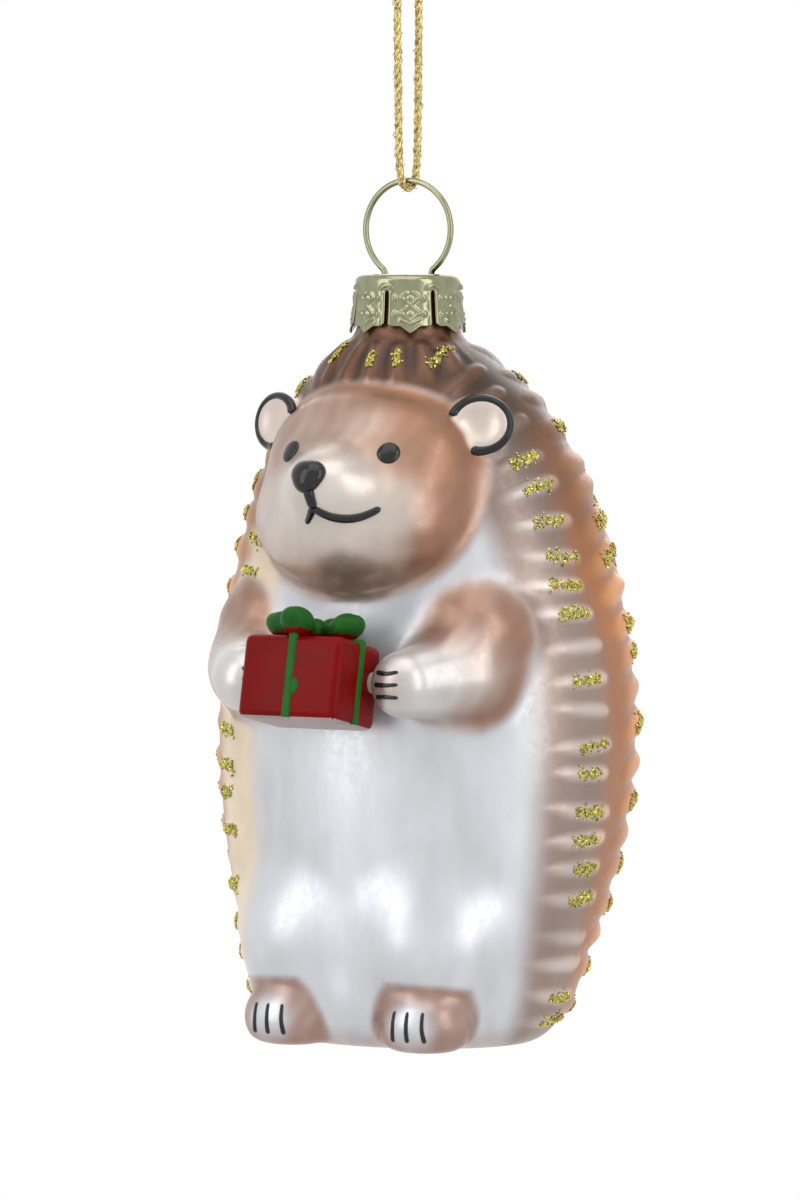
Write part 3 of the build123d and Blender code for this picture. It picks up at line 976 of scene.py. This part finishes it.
class ORNAMENT_OT_hanger(bpy.types.Operator):
    """Bend the spring hanger: one wire with a ring and two legs"""

    bl_idname = "ornament.hanger"
    bl_label = "Hanger"

    def execute(self, context):
        bend_x = LEG_X + BEND_RADIUS
        bend_z = RING_HEIGHT - math.sqrt((RING_RADIUS + BEND_RADIUS) ** 2 - bend_x**2)
        turn = math.atan2(RING_HEIGHT - bend_z, bend_x)
        splay = FOOT_X - LEG_X
        bow = (splay**2 + LEG_DROP**2) / (2 * splay)
        half = []
        for step in range(41):
            angle = math.pi / 2 - step / 40 * (math.pi / 2 + turn)
            half.append((RING_RADIUS * math.cos(angle), RING_HEIGHT + RING_RADIUS * math.sin(angle)))
        for step in range(1, 9):
            angle = turn * (1 - step / 8)
            half.append((bend_x - BEND_RADIUS * math.cos(angle), bend_z + BEND_RADIUS * math.sin(angle)))
        for step in range(1, 25):
            angle = math.asin(LEG_DROP / bow) * step / 24
            half.append((LEG_X + bow * (1 - math.cos(angle)), bend_z - bow * math.sin(angle)))
        whole = [(-x, z) for x, z in reversed(half)] + half[1:]
        bm = bmesh.new()
        rings = []
        points = [Vector((x, 0.0, z)) * MM for x, z in whole]
        tangents, _ = frames(points)
        for index, (point, tangent) in enumerate(zip(points, tangents)):
            ends = min(index, len(points) - 1 - index)
            size = WIRE_RADIUS * (0.55, 0.9, 1.0)[min(ends, 2)]
            rings.append(ring_matrix(point, tangent, (0.0, 1.0, 0.0), size, size))
        sweep(bm, rings, 20)
        bmesh.ops.recalc_face_normals(bm, faces=bm.faces)
        wire = new_piece("spring_hanger", bm, "hanger", pressed_gold("drawn_wire", 0.2, 0.08))
        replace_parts(wire, "hanger_wire")
        return {"FINISHED"}


# Crown cap
CAP_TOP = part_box("crown_cap")[1].z / MM
CAP_RADIUS = 6.5
CAP_HEIGHT = 7.2
CAP_FLARE = 0.65
SLIT = 0.42
SLIT_DEPTH = 5.2
POINT = 0.9
TAB = 0.42
FINGERS = 7
CAP_TURN = math.radians(32)
FINGER_HALF = math.pi / FINGERS - SLIT / 2 / CAP_RADIUS
SHEET = 0.0003
ACROSS = 36
DOWN = 34

# Rows of the band's grid: up the wall, round the edge and in over the top
WALL_ROWS = 6
EDGE_ROWS = 6
TOP_ROWS = 4
CAP_EDGE = 1.0


def cap_emboss(across, down):
    """Pressed pattern on one finger: across from its middle, down from the slit's top, in millimetres."""
    reach = np.abs(across)
    marks = []
    for centre in (0.85, 2.75):
        marks.append(bell(reach / 1.1 + np.abs(down - centre) / 0.95, 1.0, 0.25))
        marks.append(bell(np.hypot(across, down - centre), 0.0, 0.37))
    for centre in (0.9, 2.85):
        marks.append(bell(np.hypot(reach - 1.75, down - centre), 0.0, 0.37))
    marks.append(bell(down + reach * 0.5, SLIT_DEPTH - 1.1, 0.2) * (reach < 1.3))
    marks.append(0.5 * bell(reach, FINGER_HALF * CAP_RADIUS - 0.28, 0.17) * (down > 0.2))
    return np.max(marks, axis=0)


class ORNAMENT_OT_cap(bpy.types.Operator):
    """Press the crown cap with its seven fingers"""

    bl_idname = "ornament.cap"
    bl_label = "Cap"

    def execute(self, context):
        bm = bmesh.new()
        rng = random.Random(5)
        pitch = 2 * math.pi / FINGERS
        for finger in range(FINGERS):
            flare = CAP_FLARE * rng.uniform(0.75, 1.0)
            self.finger(bm, CAP_TURN + finger * pitch, flare)
            self.band(bm, CAP_TURN + finger * pitch)
        bmesh.ops.remove_doubles(bm, verts=bm.verts, dist=0.00001)
        level = (CAP_TOP - 0.05) * MM
        rim = [e for e in bm.edges if e.is_boundary and all(v.co.z > level for v in e.verts)]
        bmesh.ops.edgeloop_fill(bm, edges=rim)
        bmesh.ops.recalc_face_normals(bm, faces=bm.faces)
        top = [face for face in bm.faces if face.calc_center_median().z > level]
        if sum(face.normal.z * face.calc_area() for face in top) < 0:
            bmesh.ops.reverse_faces(bm, faces=bm.faces)
        bmesh.ops.solidify(bm, geom=bm.faces[:], thickness=SHEET)
        bmesh.ops.recalc_face_normals(bm, faces=bm.faces)
        cap = new_piece("embossed_cap", bm, "cap", pressed_gold("pressed_sheet", 0.17, 0.12))
        self.slots(cap)
        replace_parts(cap, "crown_cap")
        return {"FINISHED"}

    def finger(self, bm, turn, flare):
        made = bmesh.ops.create_grid(bm, x_segments=ACROSS, y_segments=DOWN, size=1.0)["verts"]
        flat = coordinates(made)
        share = (1 - flat[:, 1]) / 2
        across = flat[:, 0] * FINGER_HALF * CAP_RADIUS
        reach = np.abs(flat[:, 0])
        foot = SLIT_DEPTH - POINT * np.minimum(reach / TAB, 1.0) - 0.3 * ramp(0.8, 1.0, reach)
        down = share * foot
        curl = 0.35 * ramp(0.7, 1.0, down / SLIT_DEPTH)
        press = cap_emboss(across, down) * ramp(0.0, 0.25, down) * sizes().emboss / MM
        radius = CAP_RADIUS + flare * (down / SLIT_DEPTH) ** 1.6 + curl * flare + press
        self.bend(made, turn + flat[:, 0] * FINGER_HALF, radius, CAP_TOP - CAP_HEIGHT + SLIT_DEPTH - down)

    def band(self, bm, turn):
        """Sector of the cap above the slits: wall, rounded edge and the border of the top."""
        last = ACROSS + 2
        rows = WALL_ROWS + EDGE_ROWS + TOP_ROWS
        made = bmesh.ops.create_grid(bm, x_segments=last, y_segments=rows, size=1.0)["verts"]
        flat = coordinates(made)
        column = np.round((flat[:, 0] + 1) / 2 * last)
        angle = (2 * (column - 1) / ACROSS - 1) * FINGER_HALF
        angle = np.where(column == 0, -math.pi / FINGERS, angle)
        angle = np.where(column == last, math.pi / FINGERS, angle)
        row = np.round((flat[:, 1] + 1) / 2 * rows)
        wall = CAP_HEIGHT - SLIT_DEPTH
        arc = np.clip((row - WALL_ROWS) / EDGE_ROWS, 0, 1) * math.pi / 2
        inward = np.clip(row - WALL_ROWS - EDGE_ROWS, 0, TOP_ROWS) * 0.45
        radius = CAP_RADIUS - CAP_EDGE + CAP_EDGE * np.cos(arc) - inward
        height = -wall + np.clip(row / WALL_ROWS, 0, 1) * (wall - CAP_EDGE) + CAP_EDGE * np.sin(arc)
        above = height + wall
        aside = (math.pi / FINGERS - np.abs(angle)) * CAP_RADIUS
        arch = bell(np.hypot(aside, above + 0.1), 0.76, 0.2) * (row > 0) * (row < 9)
        self.bend(made, turn + angle, radius + arch * sizes().emboss / MM, CAP_TOP + height)

    def bend(self, verts, angle, radius, height):
        put(verts, np.column_stack((np.sin(angle) * radius, -np.cos(angle) * radius, height)) * MM)

    def slots(self, cap):
        """Cut the two slots that the hanger's legs pass through."""
        bm = bmesh.new()
        for side in (-1, 1):
            made = bmesh.ops.create_cube(bm, size=1.0)["verts"]
            bmesh.ops.scale(bm, vec=(0.00248, 0.0013, 0.0014), verts=made)
            bmesh.ops.translate(bm, vec=(side * 0.00389, 0.0, CAP_TOP * MM), verts=made)
        upright = [e for e in bm.edges if abs(e.verts[0].co.z - e.verts[1].co.z) > 0.001]
        bevel(bm, upright, 0.0006, 5)
        cutter = link("leg_slots", mesh_from("leg_slots", bm))
        cut = cap.modifiers.new("slots", "BOOLEAN")
        cut.operation = "DIFFERENCE"
        cut.solver = "EXACT"
        cut.object = cutter
        whole = evaluated(cap)
        cap.modifiers.clear()
        cap.data = whole
        bpy.data.objects.remove(cutter)


# Glass figure
class ORNAMENT_OT_figure(bpy.types.Operator):
    """Blow the glass figure: trunk, face, limbs, ears and the coat of spines, with its paint"""

    bl_idname = "ornament.figure"
    bl_label = "Glass figure"

    def execute(self, context):
        mesh = self.gather()
        count = len(mesh.vertices)
        places = np.empty(count * 3, dtype=np.float32)
        mesh.vertices.foreach_get("co", places)
        places = settle(places.reshape(-1, 3).astype(float))
        out = normals(places)
        spines = coat_spines()
        lifted, relief, owner, along = raised(places, out, spines)
        shades = self.paint(places, relief, owner, along, spines)
        mesh.vertices.foreach_set("co", to_scene(lifted).astype(np.float32).ravel())
        layer = mesh.attributes.new("paint", "FLOAT_COLOR", "POINT")
        layer.data.foreach_set("color", np.column_stack((shades, np.ones(count))).astype(np.float32).ravel())
        mesh.update()
        figure = adopt("painted_glass", mesh, "figure", pearl_glass())
        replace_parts(figure, "glass_body")
        return {"FINISHED"}

    def gather(self):
        """Rough forms joined into one closed skin on an even grid."""
        bm = bmesh.new()
        foot, rim, pit = 0.3, LIP - 0.3, PIT + 1.5
        wall = [(1.0, height) for height in np.linspace(foot, rim, 90)]
        bore = [(0.5, height) for height in np.linspace(rim, pit, 24)]
        verts = [bm.verts.new((r, 0.0, h)) for r, h in [(0.0, foot), *wall, *bore, (0.0, pit)]]
        edges = [bm.edges.new(pair) for pair in zip(verts, verts[1:])]
        bmesh.ops.spin(
            bm, geom=verts + edges, cent=(0, 0, 0), axis=(0, 0, 1), angle=2 * math.pi, steps=72,
            use_merge=True, use_duplicate=False,
        )
        bmesh.ops.remove_doubles(bm, verts=bm.verts, dist=0.001)
        for vert in bm.verts:
            reach = math.hypot(vert.co.x, vert.co.y)
            if reach > 0.75:
                half_width, half_depth, centre = section(vert.co.z)
                vert.co.x *= half_width
                vert.co.y = vert.co.y * half_depth + centre
            elif reach > 0.1:
                vert.co.x *= 2 * BORE
                vert.co.y *= 2 * BORE
        bmesh.ops.recalc_face_normals(bm, faces=bm.faces)
        for centre, radii in (CRANIUM, CHEEKS, BROW, SNOUT):
            self.lump(bm, centre, radii)
        for side in (-1, 1):
            for centre, radii in (THIGH, FOOT):
                self.lump(bm, (side * centre[0], *centre[1:]), radii)
            for start, end in ((SHOULDER, ELBOW), (ELBOW, PAW)):
                for step in range(5):
                    where = Vector(start[0]).lerp(Vector(end[0]), step / 4)
                    size = start[1] + (end[1] - start[1]) * step / 4
                    self.lump(bm, (side * where.x, where.y, where.z), (size, size, size))
            turn = Matrix([Vector(axis) for axis in ear_axes()]).transposed()
            turn = Matrix.Diagonal((side, 1, 1)) @ turn
            self.lump(bm, (side * EAR[0], EAR[1], EAR[2]), (4.1, 3.8, 1.7), turn, Vector((0.0, 0.0, -1.1)))
        rough = link("skin_forms", mesh_from("skin_forms", bm))
        join = rough.modifiers.new("join", "REMESH")
        join.mode = "VOXEL"
        join.voxel_size = sizes().skin_step / MM * 1.0
        join.use_smooth_shade = True
        skin_mesh = evaluated(rough)
        bpy.data.objects.remove(rough)
        return skin_mesh

    def lump(self, bm, centre, radii, turn=None, shift=Vector()):
        for vert in unit_ball(bm, 40, 24):
            local = Vector((vert.co.x * radii[0], vert.co.y * radii[1], vert.co.z * radii[2])) + shift
            vert.co = Vector(centre) + (turn @ local if turn else local)

    def paint(self, p, relief, owner, along, spines):
        """Pearl, the coat's copper, the airbrush and a painted shadow under the chin, per point."""
        fields = forms(p)
        trunk, face, arm, _, _, ear = fields
        side = coat_side(p) * ramp(-0.2, 1.2, off_limbs(fields))
        cream = 0.6 * ramp(1.4, 0.2, face - np.minimum(trunk, arm))
        cream = np.maximum(cream, 0.4 * ramp(1.2, 0.2, arm - trunk))
        shade = blend(np.array(tuple(colours().pearl)), CREAM, cream)
        shade = blend(shade, self.coat(p, relief, owner, along, spines), side)
        # Painted shadow of the chin on the chest, also standing for the chest's dark reflection of chin and
        # arm
        shadow = bell(p[:, 2], 54.5, 3.6) * ramp(12.0, 6.0, np.abs(p[:, 0] - 2.0))
        shadow = shadow * ramp(-9.0, -12.0, p[:, 1]) * ramp(0.2, 1.2, face)
        shade = shade * (1.0 - 0.3 * shadow)[:, None]
        chin = dab(p, (0.0, -19.5, 57.5), (6.0, 4.0, 4.0)) * ramp(1.0, 0.2, face)
        shade = shade * (1.0 - np.outer(chin, CHIN_LOSS))
        shade = blend(shade, EAR_INSIDE, 0.5 * ramp(0.5, 0.1, ear))
        shade = blend(shade, AIRBRUSH, self.spray(p, fields) * (1.0 - 0.8 * side) * ramp(0.1, 0.6, ear))
        return np.clip(blend(shade, NECK_BROWN, 0.85 * ramp(84.5, 87.5, p[:, 2])), 0.0, 1.0)

    def coat(self, p, relief, owner, along, spines):
        """Copper crests over umber valleys, paler along the first row and darker on the crown. The lighter
        crests and darker valleys are partly the coat's own paint and partly painted highlight and painted
        shade; behind the first row each spine's root carries a painted shadow of the tip before it.
        """
        tints = colours()
        copper, blush, umber = (np.array(tuple(c)) for c in (tints.copper, tints.blush, tints.umber))
        # Crests lighter than valleys: partly the coat's own paint, partly painted highlight on the crests
        # and painted shade in the valleys
        crest = ramp(0.05, 0.7, relief)
        far = ramp(79.0, 95.0, coat_angle(p))
        left = ramp(-6.0, -12.0, p[:, 0])
        bright = blend(blend(blush, LEFT_CREST, left), copper, far)
        bright = bright * (0.9 + 0.2 * spines["tone"][owner])[:, None]
        valley = blend(blend(NEAR_VALLEY, LEFT_VALLEY, left), umber * 1.5, far)
        shade = blend(valley, bright, crest)
        # Painted shadow of each spine's tip on the root of the spine after it, in the rows behind the first
        shade = blend(shade, umber * 1.6, 0.6 * ramp(0.05, -0.85, along) * far)
        shade = shade * (1.0 - 0.42 * ramp(54.0, 72.0, p[:, 2]))[:, None]
        # Crown in the paint's own dark umber, lighter on its crests by a painted highlight
        return blend(shade, np.outer(0.12 + 0.28 * crest, umber), 0.95 * ramp(70.0, 82.0, p[:, 2]))

    def spray(self, p, fields):
        """Share of airbrushed brown on the face, elbows, ankles, hem and paw."""
        trunk, face, arm, thigh, foot, _ = fields
        x, z = np.abs(p[:, 0]), p[:, 2]
        rim = bell(face - trunk, -2.2, 3.0) * ramp(1.9, 0.6, face)
        rim = rim * (0.35 + 0.65 * np.maximum(ramp(62.0, 72.0, z), ramp(8.0, 12.5, x)))
        rim = rim * (1.0 - 0.6 * ramp(8.5, 4.0, x) * ramp(72.0, 76.0, z))
        rim = rim * (1.0 - 0.5 * ramp(-2.0, -8.0, p[:, 0]))
        brow = bell(z, 82.0, 3.0) * ramp(1.4, 0.2, face)
        seam = bell(face - trunk, 0.4, 1.5) * ramp(68.0, 75.0, z)
        bridge = dab(p, (0.0, -20.0, 74.5), (5.5, 6.0, 2.4))
        outer = ramp(11.5, 16.5, x + 0.5 * (z - 45.0))
        elbow = bell(arm - trunk, -1.4, 2.6) * ramp(2.2, 0.3, arm) * (0.18 + 0.82 * outer)
        toes = length(np.column_stack((x - 10.0, p[:, 1] + 17.4, z - 3.2)))
        ankle = ramp(1.8, 5.0, toes) * ramp(1.2, -0.4, foot - np.minimum(trunk, thigh))
        paw = dab(p, (10.6, -23.8, 45.3), 2.2)
        coats = 3.0 * rim + 1.7 * seam + 1.5 * brow + 0.4 * bridge + 2.0 * elbow + 1.5 * ankle
        coats = coats + 0.5 * ramp(3.5, 0.3, z) + 0.5 * paw
        streak = np.sin(1.6 * p[:, 0] + 1.5 * np.sin(0.8 * z))
        streak = streak * np.sin(0.9 * p[:, 0] - 0.8 * z + 0.7 * p[:, 1])
        coats = 0.06 * ramp(1.0, 0.2, face) + coats * (1.0 + 0.2 * streak)
        return SPRAY_MOST * (1.0 - np.exp(-coats / SPRAY_MOST))


# Enamel: places as x and height on the front of the figure
EYE = (6.85, 72.8)
EYE_RADIUS = 1.42
EYE_PROUD = 0.42
NOSE = (-0.17, 70.2)
NOSE_HALF = (2.42, 2.3)
NOSE_PROUD = 1.25
MOUTH_MIDDLE = ((0.1, 68.9), (0.3, 67.6), (0.45, 66.2))
MOUTH_RIGHT = ((0.45, 66.3), (1.3, 65.7), (2.5, 65.2), (4.0, 65.0), (5.4, 65.2), (6.6, 65.7), (7.6, 66.3))
MOUTH_LEFT = ((0.45, 66.4), (-0.4, 65.3), (-1.3, 64.3))
TOE_GAP = 1.95
CLAW_GAP = 1.45


class ORNAMENT_OT_enamel(bpy.types.Operator):
    """Paint the raised black enamel: eyes, nose, mouth, ears and claws"""

    bl_idname = "ornament.enamel"
    bl_label = "Enamel"

    def execute(self, context):
        self.black = black_enamel()
        self.width = sizes().enamel_line / MM
        self.eyes()
        self.nose()
        self.mouth()
        self.ears()
        self.claws()
        return {"FINISHED"}

    def deposit(self, name, bm):
        return new_piece(name, bm, "figure", self.black)

    def eyes(self):
        bm = bmesh.new()
        for side in (-1, 1):
            place = front_of(side * EYE[0], EYE[1])
            outline = lambda a: 1 + 0.03 * np.sin(2 * a + 0.4 * side)
            enamel_drop(bm, place, EYE_RADIUS, EYE_RADIUS, EYE_PROUD, outline)
        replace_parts(self.deposit("eyes", bm), "eye_enamel")

    def nose(self):
        bm = bmesh.new()
        outline = lambda a: 1.0 + 0.08 * np.cos(3 * (a + math.pi / 2))
        enamel_drop(bm, front_of(*NOSE), *NOSE_HALF, NOSE_PROUD, outline)
        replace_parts(self.deposit("nose", bm), "nose_enamel")

    def mouth(self):
        bm = bmesh.new()
        for route, share, swell in (
            (MOUTH_MIDDLE, 1.9, lambda s: 1.1 - 0.25 * s),
            (MOUTH_RIGHT, 1.35, lambda s: 1.0 + 0.25 * math.sin(2.6 * s) - 0.3 * s),
            (MOUTH_LEFT, 1.4, lambda s: 1.1 - 0.5 * s),
        ):
            enamel_line(bm, [front_of(x, height) for x, height in route], self.width * share, swell)
        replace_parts(self.deposit("mouth", bm), "mouth_enamel")

    def ears(self):
        bm = bmesh.new()
        across, up, facing = ear_axes()
        for side in (-1, 1):
            line = []
            for step in range(15):
                angle = math.radians(168 - step / 14 * 280)
                local = across * math.cos(angle) * 3.55 + up * math.sin(angle) * 3.15 - facing * 0.35
                place = np.array(EAR) + local
                line.append((side * place[0], place[1], place[2]))
            enamel_line(bm, line, self.width * 1.5, lambda s: 1.0 + 0.12 * math.cos(6 * s))
        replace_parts(self.deposit("ear_lines", bm), "ear_enamel")

    def claws(self):
        bm = bmesh.new()
        for side in (-1, 1):
            for index in (-1, 0, 1):
                x = side * FOOT[0][0] + index * TOE_GAP + side * 0.4
                toe = [front_of(x + 0.15 * index, 1.6), front_of(x, 3.4), front_of(x - 0.1 * index, 5.4)]
                enamel_line(bm, toe, self.width * 0.78, lambda s: 1.05 - 0.3 * s)
                height = GIFT[2] + index * CLAW_GAP
                inner, middle, outer = (9.1, 10.7, 12.2) if side > 0 else (7.6, 8.7, 9.7)
                paw = ((inner, -23.2, height), (middle, -24.0, height), (outer, -23.4, height + 0.1))
                paw = [(side * x, y, z) for x, y, z in paw]
                enamel_line(bm, paw, self.width * 0.88, lambda s: 1.05 - 0.35 * s)
        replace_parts(self.deposit("claws", bm), "claw_enamel")


class ORNAMENT_OT_glitter(bpy.types.Operator):
    """Stick strokes of gold glitter on the spines' tips"""

    bl_idname = "ornament.glitter"
    bl_label = "Glitter"

    def execute(self, context):
        rng = np.random.default_rng(23)
        spines = coat_spines()
        chance = np.where(spines["row"] == 0, 0.85, 0.62)
        drawn = rng.random(len(chance)) < chance
        chosen = np.flatnonzero(drawn & (coat_weight(settle(spines["middle"])) > 0.4))
        count = sizes().grains_per_stroke
        strokes = []
        for index in chosen:
            reach = spines["half_length"][index]
            start = rng.uniform(-0.1, 0.12)
            run = rng.uniform(0.6, 0.82)
            share = start + run * rng.random(int(count * rng.uniform(0.55, 1.2)))
            aside = rng.normal(0.0, 0.17, len(share)) * spines["half_width"][index]
            strokes.append(
                spines["middle"][index] + spines["along"][index] * (np.minimum(share, 0.86) * reach)[:, None]
                + spines["across"][index] * aside[:, None]
            )
        for ridge in CROWN_STROKES:
            turn = ridge * 2 * math.pi / CROWN_RIDGES
            reach = 8.0 + 2.2 * rng.random(count // 2)
            aside = rng.normal(0.0, 0.24, len(reach))
            strokes.append(np.column_stack((
                math.sin(turn) * reach + math.cos(turn) * aside,
                -math.cos(turn) * reach + math.sin(turn) * aside,
                85.5 - 0.55 * (reach - 6.5),
            )))
        places = settle(np.concatenate(strokes))
        out = normals(places)
        lifted, relief, _, _ = raised(places, out, spines)
        under_cap = (np.hypot(lifted[:, 0], lifted[:, 1]) < CAP_CLEAR) & (lifted[:, 2] > CROWN_BASE)
        keep = (relief > 0.12) & ~under_cap
        self.scatter(lifted[keep], out[keep], rng)
        return {"FINISHED"}

    def scatter(self, places, out, rng):
        seed = bmesh.new()
        unit_ball(seed, 4, 2)
        flake = mesh_from("flake", seed)
        shape = np.empty(len(flake.vertices) * 3, dtype=np.float32)
        flake.vertices.foreach_get("co", shape)
        bm = bmesh.new()
        for place, normal in zip(to_scene(places), out):
            tilt = Vector(normal + rng.normal(0.0, 0.45, 3)).normalized()
            size = sizes().grain * rng.uniform(0.6, 1.25)
            turn = tilt.to_track_quat("Z", "Y").to_matrix() @ Matrix.Rotation(rng.uniform(0, 6.28), 3, "Z")
            scale = Matrix.Diagonal((size, size * rng.uniform(0.6, 1.0), size * 0.55))
            centre = Vector(place) + Vector(normal) * size * 0.35
            flake.transform(Matrix.Translation(centre) @ (turn @ scale).to_4x4())
            bm.from_mesh(flake)
            flake.vertices.foreach_set("co", shape)
        bpy.data.meshes.remove(flake)
        new_piece("glitter", bm, "figure", gold_glitter(), smooth=False)


# Gift
class ORNAMENT_OT_gift(bpy.types.Operator):
    """Cast the gift with its ribbons and bow, and finish the glue"""

    bl_idname = "ornament.gift"
    bl_label = "Gift"

    def execute(self, context):
        bm = bmesh.new()
        layer = bm.loops.layers.float_color.new("paint")
        bm.faces.layers.int.new("painted")
        tints = colours()
        red, green = tuple(tints.red), tuple(tints.green)
        width, depth, height = GIFT_SIZE
        self.block(bm, GIFT_SIZE, (0, 0, 0), 1.0)
        self.colour(bm, layer, lambda face: BARE_RESIN if face.normal.z < -0.8 else red)
        self.block(bm, (1.1, depth + 0.42, height + 0.1), (0, 0, 0.2), 0.28)
        self.block(bm, (width + 0.42, 1.1, height + 0.1), (0, 0, 0.2), 0.28)
        self.drip(bm)
        bright = tuple(1.25 * channel for channel in green)
        self.colour(bm, layer, lambda face: BARE_RIBBON if face.normal.z < -0.9 else bright)
        for turn in range(4):
            self.loop(bm, turn)
        self.knot(bm)

        def bow_colour(face):
            under = face.calc_center_median().z < height / 2 + 0.75 and face.normal.z < 0.1
            return red if under else green

        self.colour(bm, layer, bow_colour)
        bm.faces.layers.int.remove(bm.faces.layers.int["painted"])
        place = Matrix.Translation(Vector(GIFT) * MM + Vector((0, 0, BASE_Z)))
        lean = Matrix.Rotation(GIFT_LEAN, 4, "X")
        bmesh.ops.transform(bm, matrix=place @ lean @ Matrix.Scale(MM, 4), verts=bm.verts)
        gift = new_piece("gift_casting", bm, "figure", gift_lacquer())
        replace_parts(gift, "gift_box")
        for obj in bpy.data.objects:
            if obj.name.startswith("gift_glue") and obj.type == "MESH":
                obj.data.materials.clear()
                obj.data.materials.append(clear_glue())
        return {"FINISHED"}

    def colour(self, bm, layer, choose):
        """Colour the faces that have no colour yet."""
        bm.normal_update()
        painted = bm.faces.layers.int["painted"]
        for face in bm.faces:
            if not face[painted]:
                face[painted] = 1
                shade = choose(face)
                for corner in face.loops:
                    corner[layer] = (*shade, 1.0)

    def block(self, bm, size, centre, edge):
        made = bmesh.ops.create_cube(bm, size=1.0)["verts"]
        bmesh.ops.scale(bm, vec=size, verts=made)
        bmesh.ops.translate(bm, vec=centre, verts=made)
        bevel(bm, list({e for v in made for e in v.link_edges}), edge, 4)

    def drip(self, bm):
        """Run of green paint beside the front ribbon."""
        for vert in unit_ball(bm, 20, 12):
            x, y, z = vert.co
            vert.co = Vector((0.75 + x * 0.62, -GIFT_SIZE[1] / 2 + y * 0.2, -1.1 + z * 0.95))

    def loop(self, bm, turn):
        """Puffy loop of the bow, pinched at the knot and grooved at its outer end."""
        top = GIFT_SIZE[2] / 2 + 1.55
        spin = Matrix.Rotation(turn * math.pi / 2, 3, "Z")
        for vert in unit_ball(bm, 32, 20):
            x, y, z = vert.co
            girth = 0.52 + 0.48 * float(ramp(-1.0, 0.1, x))
            if z > -0.2:
                girth = girth * (1.0 - 0.07 * math.exp(-((x - 0.55) / 0.14) ** 2))
            vert.co = spin @ Vector((3.9 + x * 2.8, y * 2.15 * girth, top + 0.6 * x + z * 1.8 * girth))

    def knot(self, bm):
        top = GIFT_SIZE[2] / 2 + 1.2
        for vert in unit_ball(bm, 28, 18):
            x, y, z = vert.co
            crease = 1.0 - 0.06 * math.cos(4 * math.atan2(y, x)) * (1.0 - z * z)
            vert.co = Vector((x * 1.75 * crease, y * 1.75 * crease, top + z * 1.5))


class ORNAMENT_PT_panel(bpy.types.Panel):
    """Ornament pieces"""

    bl_idname = "ORNAMENT_PT_panel"
    bl_label = "Glass hedgehog"
    bl_space_type = "VIEW_3D"
    bl_region_type = "UI"
    bl_category = "Ornament"

    def draw(self, context):
        for group in (context.scene.ornament_sizes, context.scene.ornament_colours):
            for name in group.__annotations__:
                self.layout.prop(group, name)
        for operator in OPERATORS:
            self.layout.operator(operator.bl_idname)


OPERATORS = (
    ORNAMENT_OT_stage, ORNAMENT_OT_cord, ORNAMENT_OT_hanger, ORNAMENT_OT_cap, ORNAMENT_OT_figure,
    ORNAMENT_OT_enamel, ORNAMENT_OT_glitter, ORNAMENT_OT_gift,
)
CLASSES = (OrnamentSizes, OrnamentColours, *OPERATORS, ORNAMENT_PT_panel)


def register():
    for cls in CLASSES:
        bpy.utils.register_class(cls)
    bpy.types.Scene.ornament_sizes = PointerProperty(type=OrnamentSizes)
    bpy.types.Scene.ornament_colours = PointerProperty(type=OrnamentColours)


def unregister():
    del bpy.types.Scene.ornament_sizes
    del bpy.types.Scene.ornament_colours
    for cls in reversed(CLASSES):
        bpy.utils.unregister_class(cls)


def main():
    register()
    bpy.ops.ornament.stage()
    bpy.ops.ornament.cord()
    bpy.ops.ornament.hanger()
    bpy.ops.ornament.cap()
    bpy.ops.ornament.figure()
    bpy.ops.ornament.enamel()
    bpy.ops.ornament.glitter()
    bpy.ops.ornament.gift()


if __name__ == "__main__":
    main()
